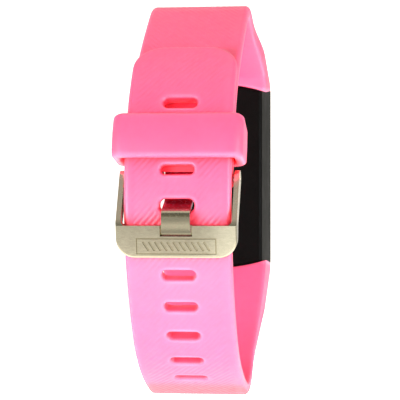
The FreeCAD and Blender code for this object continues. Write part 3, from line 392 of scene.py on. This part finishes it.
def tidy(ob):
    """Triangulates after the cuts, so that no many-sided face is split into loose slivers later on."""
    bm = bmesh.new()
    bm.from_mesh(ob.data)
    bmesh.ops.triangulate(bm, faces=bm.faces)
    odd = sum(len(e.link_faces) != 2 for e in bm.edges)
    bm.to_mesh(ob.data)
    bm.free()
    print("tidied", ob.name, "edges not on two faces", odd)


def prism(outline, base, axis, height):
    """Closed prism. outline is a list of 3-D points in order; axis a unit vector."""
    n = len(outline)
    P = np.array(outline, float) + np.array(base, float)
    Q = P + np.array(axis, float) * height
    faces = [tuple(range(n))[::-1], tuple(range(n, 2 * n))]
    faces += [(i, (i + 1) % n, n + (i + 1) % n, n + i) for i in range(n)]
    return np.concatenate([P, Q]), faces


def joined(parts):
    V, F, k = [], [], 0
    for v, f in parts:
        V.append(v)
        F += [tuple(i + k for i in q) for q in f]
        k += len(v)
    return np.concatenate(V), F


def rounded_outline(hx, hy, r, n=8):
    pts = []
    for cx, cy, a0 in ((hx - r, hy - r, 0), (-hx + r, hy - r, 90), (-hx + r, -hy + r, 180), (hx - r, -hy + r, 270)):
        for k in range(n + 1):
            a = math.radians(a0 + 90 * k / n)
            pts.append((cx + r * math.cos(a), cy + r * math.sin(a)))
    return pts


def smooth_shade(ob, degrees=35):
    for p in ob.data.polygons:
        p.use_smooth = True
    ob.data.set_sharp_from_angle(angle=math.radians(degrees))


# ------------------------------------------------------------------ straps
out, inn = lower_paths()
lower = strap("tail_strap_skin", out, inn, 1, 1, tip=True, clamp=-1)
cutters = []
for deg, (hl, hh, r) in zip(SLOTS, SLOT_SIZE):
    a = math.radians(deg)
    d, t = np.array([0, -math.cos(a), math.sin(a)]), np.array([0, math.sin(a), math.cos(a)])
    ring = [np.array([x, 0, 0]) + t * h for x, h in rounded_outline(hl, hh, r)]
    cutters.append(prism(ring, np.array([0, AY, AZ]) + d * 24.0, d, 16.0))
carve(lower, mesh_object("slot_cutters", *joined(cutters)))
carve(lower, module_cutter(-1))
tidy(lower)
smooth_shade(lower, 50)
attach(lower, "band")
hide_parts("lower_strap")

out, inn = upper_paths()
upper = strap("buckle_strap_skin", out, inn, -1, 1, clamp=1)
pa = math.radians(PIN_DEG)
PY, PZ = AY - PIN_R * math.cos(pa), AZ + PIN_R * math.sin(pa)


def tube_x(radius, half, n=48):
    ring = [(0, radius * math.cos(2 * math.pi * k / n), radius * math.sin(2 * math.pi * k / n)) for k in range(n)]
    return prism(ring, (-half, PY, PZ), (1, 0, 0), 2 * half)


gap = 2.85
carve(upper, mesh_object("eye_cutter", *tube_x(1.85, gap)))
carve(upper, mesh_object("bore_cutter", *tube_x(0.77, 12)))
carve(upper, module_cutter(1))
tidy(upper)
smooth_shade(upper, 50)
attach(upper, "band")
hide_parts("upper_strap")

# ------------------------------------------------------------------ keeper ring
K_MID, K_SPAN = 17.9, 12.6
K_IN, K_OUT = RO - T - 0.25, TO + 0.25
K_W, K_IW, K_WALL = 11.1, 9.4, 1.9


def ring_loop(hx, hy, r, n=10):
    """Rounded rectangle with extra points on the flats, in x and radius offset."""
    pts = []
    corners = [(hx - r, hy - r, 0), (-hx + r, hy - r, 90), (-hx + r, -hy + r, 180), (hx - r, -hy + r, 270)]
    for i, (cx, cy, a0) in enumerate(corners):
        for k in range(n + 1):
            a = math.radians(a0 + 90 * k / n)
            pts.append((cx + r * math.cos(a), cy + r * math.sin(a)))
        nx, ny, _ = corners[(i + 1) % 4]
        a1 = math.radians(a0 + 90)
        p0 = (cx + r * math.cos(a1), cy + r * math.sin(a1))
        p1 = (nx + r * math.cos(a1), ny + r * math.sin(a1))
        for k in range(1, 6):
            pts.append((p0[0] + (p1[0] - p0[0]) * k / 6, p0[1] + (p1[1] - p0[1]) * k / 6))
    return np.array(pts)


def keeper():
    mid = (K_IN + K_OUT) / 2
    ho, hi = (K_OUT - K_IN) / 2 + K_WALL, (K_OUT - K_IN) / 2
    half = K_SPAN / 2
    soft, thin = 0.7, 0.6
    n = 8
    arc = [math.pi / 2 * k / n for k in range(n + 1)]

    def deg(mm):
        return math.degrees(mm / mid)

    # outside from the lower rim to the upper, then inside back down
    low = [(-half + deg(soft * (1 - math.cos(b))), soft * (1 - math.sin(b))) for b in arc]
    body = [(-half + deg(soft) + (2 * half - 2 * deg(soft)) * k / 24, 0.0) for k in range(1, 24)]
    outer = low + body + [(-q, d) for q, d in low[::-1]]
    low_i = [(-half + deg(thin * (1 - math.cos(b))), thin * (1 - math.sin(b))) for b in arc]
    body_i = [(-half + deg(thin) + (2 * half - 2 * deg(thin)) * k / 8, 0.0) for k in range(1, 8)]
    inner = low_i + body_i + [(-q, d) for q, d in low_i[::-1]]
    V, loops = [], []

    def put(loop, q):
        a = math.radians(K_MID + q)
        base = len(V)
        for x, off in loop:
            r = mid + off
            V.append((x, AY - r * math.cos(a), AZ + r * math.sin(a)))
        loops.append(np.arange(base, base + len(loop)))

    for q, d in outer:
        crown = 0.16 * (1 - (q / half) ** 2)
        put(ring_loop(K_W - d + crown * 0.3 - 0.05, ho - d + crown - 0.16, 1.9 - d * 0.8), q)
    for q, d in inner[::-1]:
        put(ring_loop(K_IW + d, hi + d, 0.3 + d * 0.8), q)
    faces = []
    for i in range(len(loops)):
        a, b = loops[i], loops[(i + 1) % len(loops)]
        for k in range(len(a)):
            m = (k + 1) % len(a)
            faces.append((int(a[k]), int(a[m]), int(b[m]), int(b[k])))
    return mesh_object("keeper_skin", np.array(V), faces)


kp = keeper()
smooth_shade(kp, 60)
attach(kp, "keeper_ring")
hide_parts("keeper")


# ------------------------------------------------------------------ materials
def material(name):
    m = bpy.data.materials.new(name)
    m.use_nodes = True
    nt = m.node_tree
    return m, nt, nt.nodes["Principled BSDF"]


def noise(nt, scale, detail=4.0, rough=0.55, stretch=None):
    tc = nt.nodes.new("ShaderNodeTexCoord")
    n = nt.nodes.new("ShaderNodeTexNoise")
    n.inputs["Scale"].default_value = scale
    n.inputs["Detail"].default_value = detail
    n.inputs["Roughness"].default_value = rough
    if stretch:
        mp = nt.nodes.new("ShaderNodeMapping")
        mp.inputs["Scale"].default_value = stretch
        nt.links.new(tc.outputs["Object"], mp.inputs["Vector"])
        nt.links.new(mp.outputs["Vector"], n.inputs["Vector"])
    else:
        nt.links.new(tc.outputs["Object"], n.inputs["Vector"])
    return n


def ramp(nt, src, stops):
    r = nt.nodes.new("ShaderNodeValToRGB")
    r.color_ramp.elements[0].position, r.color_ramp.elements[0].color = stops[0][0], (*stops[0][1], 1)
    r.color_ramp.elements[1].position, r.color_ramp.elements[1].color = stops[-1][0], (*stops[-1][1], 1)
    for p, c in stops[1:-1]:
        e = r.color_ramp.elements.new(p)
        e.color = (*c, 1)
    nt.links.new(src, r.inputs["Fac"])
    return r


def spread(nt, src, lo, hi):
    r = nt.nodes.new("ShaderNodeMapRange")
    r.inputs["From Min"].default_value, r.inputs["From Max"].default_value = 0.3, 0.7
    r.inputs["To Min"].default_value, r.inputs["To Max"].default_value = lo, hi
    nt.links.new(src, r.inputs["Value"])
    return r


def bumped(nt, bsdf, src, strength, distance):
    b = nt.nodes.new("ShaderNodeBump")
    b.inputs["Strength"].default_value = strength
    b.inputs["Distance"].default_value = distance
    nt.links.new(src, b.inputs["Height"])
    nt.links.new(b.outputs["Normal"], bsdf.inputs["Normal"])
    return b


def blend(nt, factor, a, colour):
    """Mixes a plain colour over socket a by the factor socket; returns the result's socket."""
    mix = nt.nodes.new("ShaderNodeMix")
    mix.data_type = "RGBA"
    nt.links.new(factor, mix.inputs["Factor"])
    nt.links.new(a, mix.inputs["A"])
    mix.inputs["B"].default_value = (*colour, 1)
    return mix.outputs["Result"]


def silicone(name, colour, deeper):
    m, nt, b = material(name)
    big = noise(nt, 140.0, 3.0)
    c = ramp(nt, big.outputs["Fac"], [(0.3, deeper), (0.7, colour)])
    # painted glow: where the rubber is thin (ambient occlusion looked for from inside) the colour is mixed paler,
    # standing in for light let through thin edges
    rim = nt.nodes.new("ShaderNodeAmbientOcclusion")
    rim.samples, rim.inside, rim.only_local = 8, True, True
    rim.inputs["Distance"].default_value = 0.0010
    thin = nt.nodes.new("ShaderNodeMapRange")
    thin.inputs["From Min"].default_value, thin.inputs["From Max"].default_value = 0.55, 0.9
    thin.inputs["To Min"].default_value, thin.inputs["To Max"].default_value = 0.7, 0.0
    nt.links.new(rim.outputs["AO"], thin.inputs["Value"])
    painted_edge_glow = blend(nt, thin.outputs["Result"], c.outputs["Color"], (1.0, 0.28, 0.45))
    # painted shade: sheltered places (ambient occlusion) are mixed towards deep crimson, standing in for light that
    # comes out crimson after passing through the rubber
    ao = nt.nodes.new("ShaderNodeAmbientOcclusion")
    ao.samples = 8
    ao.inputs["Distance"].default_value = 0.0034
    shade = nt.nodes.new("ShaderNodeMapRange")
    shade.interpolation_type = "SMOOTHSTEP"
    shade.inputs["From Min"].default_value, shade.inputs["From Max"].default_value = 0.35, 0.98
    shade.inputs["To Min"].default_value, shade.inputs["To Max"].default_value = 1.0, 0.0
    nt.links.new(ao.outputs["AO"], shade.inputs["Value"])
    painted_shade = blend(nt, shade.outputs["Result"], painted_edge_glow, (1.0, 0.012, 0.06))
    nt.links.new(painted_shade, b.inputs["Base Color"])
    fine = noise(nt, 5200.0, 3.0)
    rr = spread(nt, noise(nt, 900.0, 4.0).outputs["Fac"], 0.46, 0.6)
    nt.links.new(rr.outputs["Result"], b.inputs["Roughness"])
    bumped(nt, b, fine.outputs["Fac"], 0.12, 0.00003)
    b.inputs["Specular IOR Level"].default_value = 1.0
    b.inputs["Sheen Weight"].default_value = 0.1
    b.inputs["Sheen Roughness"].default_value = 0.6
    b.inputs["Subsurface Weight"].default_value = 0.4
    b.inputs["Subsurface Radius"].default_value = (1.0, 0.14, 0.22)
    b.inputs["Subsurface Scale"].default_value = 0.0024
    return m


def metal(name, colour, darker, rough=(0.24, 0.36), stretch=(1, 1, 1), scale=1500.0, bump=0.08):
    m, nt, b = material(name)
    b.inputs["Metallic"].default_value = 1.0
    n = noise(nt, scale, 3.0, 0.6, stretch)
    c = ramp(nt, n.outputs["Fac"], [(0.3, darker), (0.7, colour)])
    nt.links.new(c.outputs["Color"], b.inputs["Base Color"])
    r = spread(nt, n.outputs["Fac"], *rough)
    nt.links.new(r.outputs["Result"], b.inputs["Roughness"])
    bumped(nt, b, n.outputs["Fac"], bump, 0.00002)
    return m


def crowned(m, tilt, half):
    """Gives a flat plate the look of one crowned across x: its normal leans by tilt degrees at half mm."""
    nt = m.node_tree
    b = nt.nodes["Principled BSDF"]
    fine = b.inputs["Normal"].links[0].from_node
    tc = nt.nodes.new("ShaderNodeTexCoord")
    sp = nt.nodes.new("ShaderNodeSeparateXYZ")
    nt.links.new(tc.outputs["Object"], sp.inputs["Vector"])
    sq = nt.nodes.new("ShaderNodeMath")
    sq.operation = "MULTIPLY"
    nt.links.new(sp.outputs["X"], sq.inputs[0])
    nt.links.new(sp.outputs["X"], sq.inputs[1])
    k = nt.nodes.new("ShaderNodeMath")
    k.operation = "MULTIPLY"
    k.inputs[1].default_value = -math.tan(math.radians(tilt)) / (2 * half * M)
    nt.links.new(sq.outputs["Value"], k.inputs[0])
    bp = nt.nodes.new("ShaderNodeBump")
    bp.inputs["Strength"].default_value, bp.inputs["Distance"].default_value = 1.0, 1.0
    nt.links.new(k.outputs["Value"], bp.inputs["Height"])
    nt.links.new(bp.outputs["Normal"], fine.inputs["Normal"])


def painted_occlusion_tone(m, colour, distance, local=True):
    """Mixes another tone into the base colour by ambient occlusion: painted shade inside engraved lines and tight
    corners, or painted light from other pieces close by if not local.
    """
    nt = m.node_tree
    b = nt.nodes["Principled BSDF"]
    plain = b.inputs["Base Color"].links[0].from_socket
    ao = nt.nodes.new("ShaderNodeAmbientOcclusion")
    ao.samples, ao.only_local = 8, local
    ao.inputs["Distance"].default_value = distance
    shade = nt.nodes.new("ShaderNodeMapRange")
    shade.inputs["From Min"].default_value, shade.inputs["From Max"].default_value = 0.45, 0.95
    shade.inputs["To Min"].default_value, shade.inputs["To Max"].default_value = 1.0, 0.0
    nt.links.new(ao.outputs["AO"], shade.inputs["Value"])
    nt.links.new(blend(nt, shade.outputs["Result"], plain, colour), b.inputs["Base Color"])


def painted_light_above(m, z, colour):
    """Brighter base colour above height z mm: painted light that makes the arms above the brushed bar look lit."""
    nt = m.node_tree
    b = nt.nodes["Principled BSDF"]
    plain = b.inputs["Base Color"].links[0].from_socket
    tc = nt.nodes.new("ShaderNodeTexCoord")
    sp = nt.nodes.new("ShaderNodeSeparateXYZ")
    nt.links.new(tc.outputs["Object"], sp.inputs["Vector"])
    up = nt.nodes.new("ShaderNodeMapRange")
    up.inputs["From Min"].default_value, up.inputs["From Max"].default_value = (z - 0.5) * M, (z + 0.5) * M
    nt.links.new(sp.outputs["Z"], up.inputs["Value"])
    nt.links.new(blend(nt, up.outputs["Result"], plain, colour), b.inputs["Base Color"])


def plastic(name, colour, lighter, rough=(0.34, 0.44), scale=2600.0, bump=0.1, spec=0.5):
    m, nt, b = material(name)
    n = noise(nt, scale, 4.0)
    c = ramp(nt, n.outputs["Fac"], [(0.3, colour), (0.7, lighter)])
    nt.links.new(c.outputs["Color"], b.inputs["Base Color"])
    r = spread(nt, noise(nt, 260.0, 3.0).outputs["Fac"], *rough)
    nt.links.new(r.outputs["Result"], b.inputs["Roughness"])
    bumped(nt, b, n.outputs["Fac"], bump, 0.00002)
    b.inputs["Specular IOR Level"].default_value = spec
    return m


PINK = silicone("pink_silicone", (0.94, 0.064, 0.198), (0.93, 0.056, 0.182))
STEEL = metal("brushed_nickel", (0.385, 0.357, 0.262), (0.34, 0.314, 0.228), (0.2, 0.26), stretch=(0.3, 1, 1), scale=4000.0, bump=0.03)
crowned(STEEL, 6.0, 9.0)
# painted light: the frame's arms above 32 mm get a lighter colour so they look lit
painted_light_above(STEEL, 32.0, (0.80, 0.70, 0.54))
# painted shade: darker olive inside the frame's engraved lines and tight corners
painted_occlusion_tone(STEEL, (0.2, 0.165, 0.07), 0.0005)
# painted shade: the tongue's nickel is a darker copy of the bar's, so it looks shaded
SHADED_TONGUE = metal("shaded_nickel_tongue", (0.235, 0.218, 0.152), (0.222, 0.206, 0.144), (0.25, 0.28), stretch=(0.3, 1, 1), scale=9000.0, bump=0.01)
# painted reflection: pink mixed into the tongue's colour close to the slot's walls, standing in for light bounced
# from them
painted_occlusion_tone(SHADED_TONGUE, (0.58, 0.26, 0.42), 0.003, False)  # pink bounced from the slot's walls
BRIGHT = metal("drawn_steel", (0.62, 0.61, 0.58), (0.5, 0.49, 0.46), stretch=(0.1, 1, 1))
CASE = plastic("satin_black_case", (0.004, 0.004, 0.004), (0.008, 0.008, 0.007), (0.42, 0.5), spec=0.05)
COVER = plastic("matte_black_cover", (0.0015, 0.0015, 0.0014), (0.003, 0.003, 0.0028), (0.36, 0.46), bump=0.2, spec=0.03)
CHIP = plastic("chip_black", (0.012, 0.012, 0.013), (0.03, 0.03, 0.032), (0.5, 0.6))
BOARD = plastic("solder_mask", (0.006, 0.07, 0.03), (0.012, 0.11, 0.05), (0.3, 0.45), scale=900)
RUBBER = plastic("gasket_rubber", (0.01, 0.01, 0.01), (0.02, 0.02, 0.02), (0.6, 0.75))
GOLD = metal("gold_plate", (0.85, 0.6, 0.22), (0.72, 0.48, 0.16), (0.18, 0.28))
COPPER = metal("copper_foil", (0.72, 0.38, 0.22), (0.6, 0.3, 0.17), (0.25, 0.4))
FOIL = metal("battery_foil", (0.5, 0.5, 0.52), (0.42, 0.42, 0.44), (0.3, 0.45), scale=500)
HEAVY = metal("sintered_weight", (0.25, 0.25, 0.26), (0.18, 0.18, 0.19), (0.45, 0.6))
SCREW = metal("black_screw", (0.05, 0.05, 0.052), (0.03, 0.03, 0.032), (0.3, 0.45))


def glassy():
    m, nt, b = material("inked_glass")
    n = noise(nt, 60.0, 2.0)
    c = ramp(nt, n.outputs["Fac"], [(0.3, (0.004, 0.004, 0.005)), (0.7, (0.008, 0.008, 0.009))])
    nt.links.new(c.outputs["Color"], b.inputs["Base Color"])
    r = spread(nt, noise(nt, 700.0, 4.0).outputs["Fac"], 0.04, 0.09)
    nt.links.new(r.outputs["Result"], b.inputs["Roughness"])
    b.inputs["Coat Weight"].default_value = 0.6
    b.inputs["Coat Roughness"].default_value = 0.03
    return m


GLASS = glassy()
LED = plastic("led_lens", (0.03, 0.42, 0.1), (0.06, 0.6, 0.16), (0.1, 0.2))
DISPLAY = plastic("display_black", (0.003, 0.003, 0.004), (0.008, 0.008, 0.01), (0.06, 0.12))

LOOK = {
    "buckle_frame": STEEL, "buckle_tongue": SHADED_TONGUE,
    "case_body": CASE, "back_cover": COVER, "cover_screws": SCREW, "case_gasket": RUBBER,
    "cover_glass": GLASS, "display_panel": DISPLAY, "touch_electrode": COPPER, "display_connector": CHIP,
    "main_board": BOARD, "processor": CHIP, "motion_sensor": CHIP, "antenna": COPPER, "battery_cell": FOIL,
    "motor_can": BRIGHT, "motor_shaft": BRIGHT, "motor_weight": HEAVY,
    "sensor_board": BOARD, "sensor_leds": LED, "photodiode": CHIP, "sensor_window": GLASS,
    "charging_contacts": GOLD, "upper_strap": PINK, "lower_strap": PINK, "keeper": PINK,
}
for n, ob in NODES.items():
    ob.data.materials.clear()
    ob.data.materials.append(LOOK.get(n, BRIGHT))
    smooth_shade(ob, 28)
for ob in (lower, upper, kp):
    ob.data.materials.clear()
    ob.data.materials.append(PINK)


# ------------------------------------------------------------------ stage, light and camera
def stage_material():
    """Pale floor and sweep that glow as a light source: a strong pool of glow round the band, halved right under
    it, and a fainter glow dimmer to the right of the view and towards the front.
    """
    m, nt, b = material("pale_floor")
    n = noise(nt, 6.0, 2.0)
    c = ramp(nt, n.outputs["Fac"], [(0.3, (0.86, 0.86, 0.86)), (0.7, (0.9, 0.9, 0.9))])
    nt.links.new(c.outputs["Color"], b.inputs["Base Color"])
    b.inputs["Roughness"].default_value = 0.9
    b.inputs["Specular IOR Level"].default_value = 0.1
    b.inputs["Emission Color"].default_value = (1, 0.975, 0.91, 1)
    tc = nt.nodes.new("ShaderNodeTexCoord")
    sp = nt.nodes.new("ShaderNodeSeparateXYZ")
    nt.links.new(tc.outputs["Object"], sp.inputs["Vector"])
    side = nt.nodes.new("ShaderNodeMapRange")
    side.inputs["From Min"].default_value, side.inputs["From Max"].default_value = 0.03, 0.16
    side.inputs["To Min"].default_value, side.inputs["To Max"].default_value = 0.8, 0.12
    nt.links.new(sp.outputs["X"], side.inputs["Value"])
    near = nt.nodes.new("ShaderNodeMapRange")
    near.inputs["From Min"].default_value, near.inputs["From Max"].default_value = -0.08, 0.02
    near.inputs["To Min"].default_value, near.inputs["To Max"].default_value = 0.12, 1.0
    nt.links.new(sp.outputs["Y"], near.inputs["Value"])
    both = nt.nodes.new("ShaderNodeMath")
    both.operation = "MULTIPLY"
    nt.links.new(side.outputs["Result"], both.inputs[0])
    nt.links.new(near.outputs["Result"], both.inputs[1])
    far = nt.nodes.new("ShaderNodeVectorMath")
    far.operation = "LENGTH"
    nt.links.new(tc.outputs["Object"], far.inputs[0])
    pool = nt.nodes.new("ShaderNodeMapRange")
    pool.interpolation_type = "SMOOTHSTEP"
    pool.inputs["From Min"].default_value, pool.inputs["From Max"].default_value = 0.045, 0.10
    pool.inputs["To Min"].default_value, pool.inputs["To Max"].default_value = POOL, 0.0
    nt.links.new(far.outputs["Value"], pool.inputs["Value"])
    foot = nt.nodes.new("ShaderNodeMapRange")
    foot.interpolation_type = "SMOOTHSTEP"
    foot.inputs["From Min"].default_value, foot.inputs["From Max"].default_value = 0.012, 0.048
    foot.inputs["To Min"].default_value, foot.inputs["To Max"].default_value = 0.5, 1.0
    nt.links.new(far.outputs["Value"], foot.inputs["Value"])
    ring = nt.nodes.new("ShaderNodeMath")
    ring.operation = "MULTIPLY"
    nt.links.new(pool.outputs["Result"], ring.inputs[0])
    nt.links.new(foot.outputs["Result"], ring.inputs[1])
    glow = nt.nodes.new("ShaderNodeMath")
    nt.links.new(both.outputs["Value"], glow.inputs[0])
    nt.links.new(ring.outputs["Value"], glow.inputs[1])
    nt.links.new(glow.outputs["Value"], b.inputs["Emission Strength"])
    return m


POOL = 2.1


def sweep():
    """Floor that curves up into a backdrop behind the band."""
    prof = [(-0.9, 0.0), (0.5, 0.0)]
    for k in range(1, 17):
        a = math.pi / 2 * k / 16
        prof.append((0.5 + 0.6 * math.sin(a), 0.6 - 0.6 * math.cos(a)))
    prof.append((1.1, 1.4))
    V, F = [], []
    for y, z in prof:
        V += [(-1.3, y, z), (1.3, y, z)]
    for i in range(len(prof) - 1):
        F.append((2 * i, 2 * i + 1, 2 * i + 3, 2 * i + 2))
    me = bpy.data.meshes.new("floor")
    me.from_pydata(V, [], F)
    ob = bpy.data.objects.new("floor", me)
    bpy.context.scene.collection.objects.link(ob)
    for p in me.polygons:
        p.use_smooth = True
    me.materials.append(stage_material())
    return ob


floor = sweep()
me = bpy.data.meshes.new("far_floor")
me.from_pydata([(-8, -8, -0.0005), (8, -8, -0.0005), (8, 8, -0.0005), (-8, 8, -0.0005)], [], [(0, 1, 2, 3)])
me.materials.append(floor.data.materials[0])
far_floor = bpy.data.objects.new("far_floor", me)
bpy.context.scene.collection.objects.link(far_floor)


def area(name, at, target, size, power, colour=(1, 1, 1)):
    d = bpy.data.lights.new(name, "AREA")
    d.shape, d.size, d.size_y = "RECTANGLE", size[0], size[1]
    d.energy, d.color = power, colour
    ob = bpy.data.objects.new(name, d)
    ob.location = at
    ob.rotation_euler = (Vector(target) - Vector(at)).to_track_quat("-Z", "Y").to_euler()
    ob.visible_camera = False
    bpy.context.scene.collection.objects.link(ob)
    return ob


area("left_low", (-0.32, -0.38, 0.034), (0, 0, 0.03), (0.30, 0.066), 2.6, (0.95, 0.96, 1.0))
area("right_low", (0.36, -0.22, 0.030), (0, 0, 0.045), (0.24, 0.056), 1.7, (0.93, 0.95, 1.0))
area("glint", (0.026, -0.106, 0.002), (0.026, -0.106, 1.0), (0.036, 0.08), 0.012, (0.92, 0.96, 1.0))
area("under_glow", (-0.008, -0.060, 0.001), (-0.008, -0.060, 1.0), (0.09, 0.03), 0.017, (1.0, 0.97, 0.98))
area("overhead", (-0.02, -0.10, 0.42), (0, 0, 0.04), (0.22, 0.22), 0.30, (1, 0.98, 0.92))


def studio_world():
    """Soft grey room: dim and slightly warm at eye level, neutral overhead."""
    w = bpy.data.worlds.new("studio")
    bpy.context.scene.world = w
    w.use_nodes = True
    nt = w.node_tree
    bg = nt.nodes["Background"]
    tc = nt.nodes.new("ShaderNodeTexCoord")
    sp = nt.nodes.new("ShaderNodeSeparateXYZ")
    nt.links.new(tc.outputs["Generated"], sp.inputs["Vector"])
    r = nt.nodes.new("ShaderNodeValToRGB")
    r.color_ramp.elements[0].position, r.color_ramp.elements[0].color = 0.0, (0.62, 0.53, 0.36, 1)
    r.color_ramp.elements[1].position, r.color_ramp.elements[1].color = 0.9, (0.45, 0.45, 0.45, 1)
    nt.links.new(sp.outputs["Z"], r.inputs["Fac"])
    nt.links.new(r.outputs["Color"], bg.inputs["Color"])
    bg.inputs["Strength"].default_value = 0.8


studio_world()

scene = bpy.context.scene
scene.view_settings.view_transform = "Standard"
scene.view_settings.look = "None"
scene.view_settings.exposure = 0.0
cam = bpy.data.cameras.new("camera")
co = bpy.data.objects.new("camera", cam)
scene.collection.objects.link(co)
yaw = math.radians(7.5)
co.location = (0.3 * math.sin(yaw), (AY - 3.0) * M - 0.3 * math.cos(yaw), AZ * M)
co.rotation_euler = (math.pi / 2, 0, yaw)
cam.lens, cam.sensor_width = 1625.0 / 400 * 36, 36.0
cam.shift_x = -1.0 / 400
cam.clip_start, cam.clip_end = 0.02, 20.0
scene.camera = co
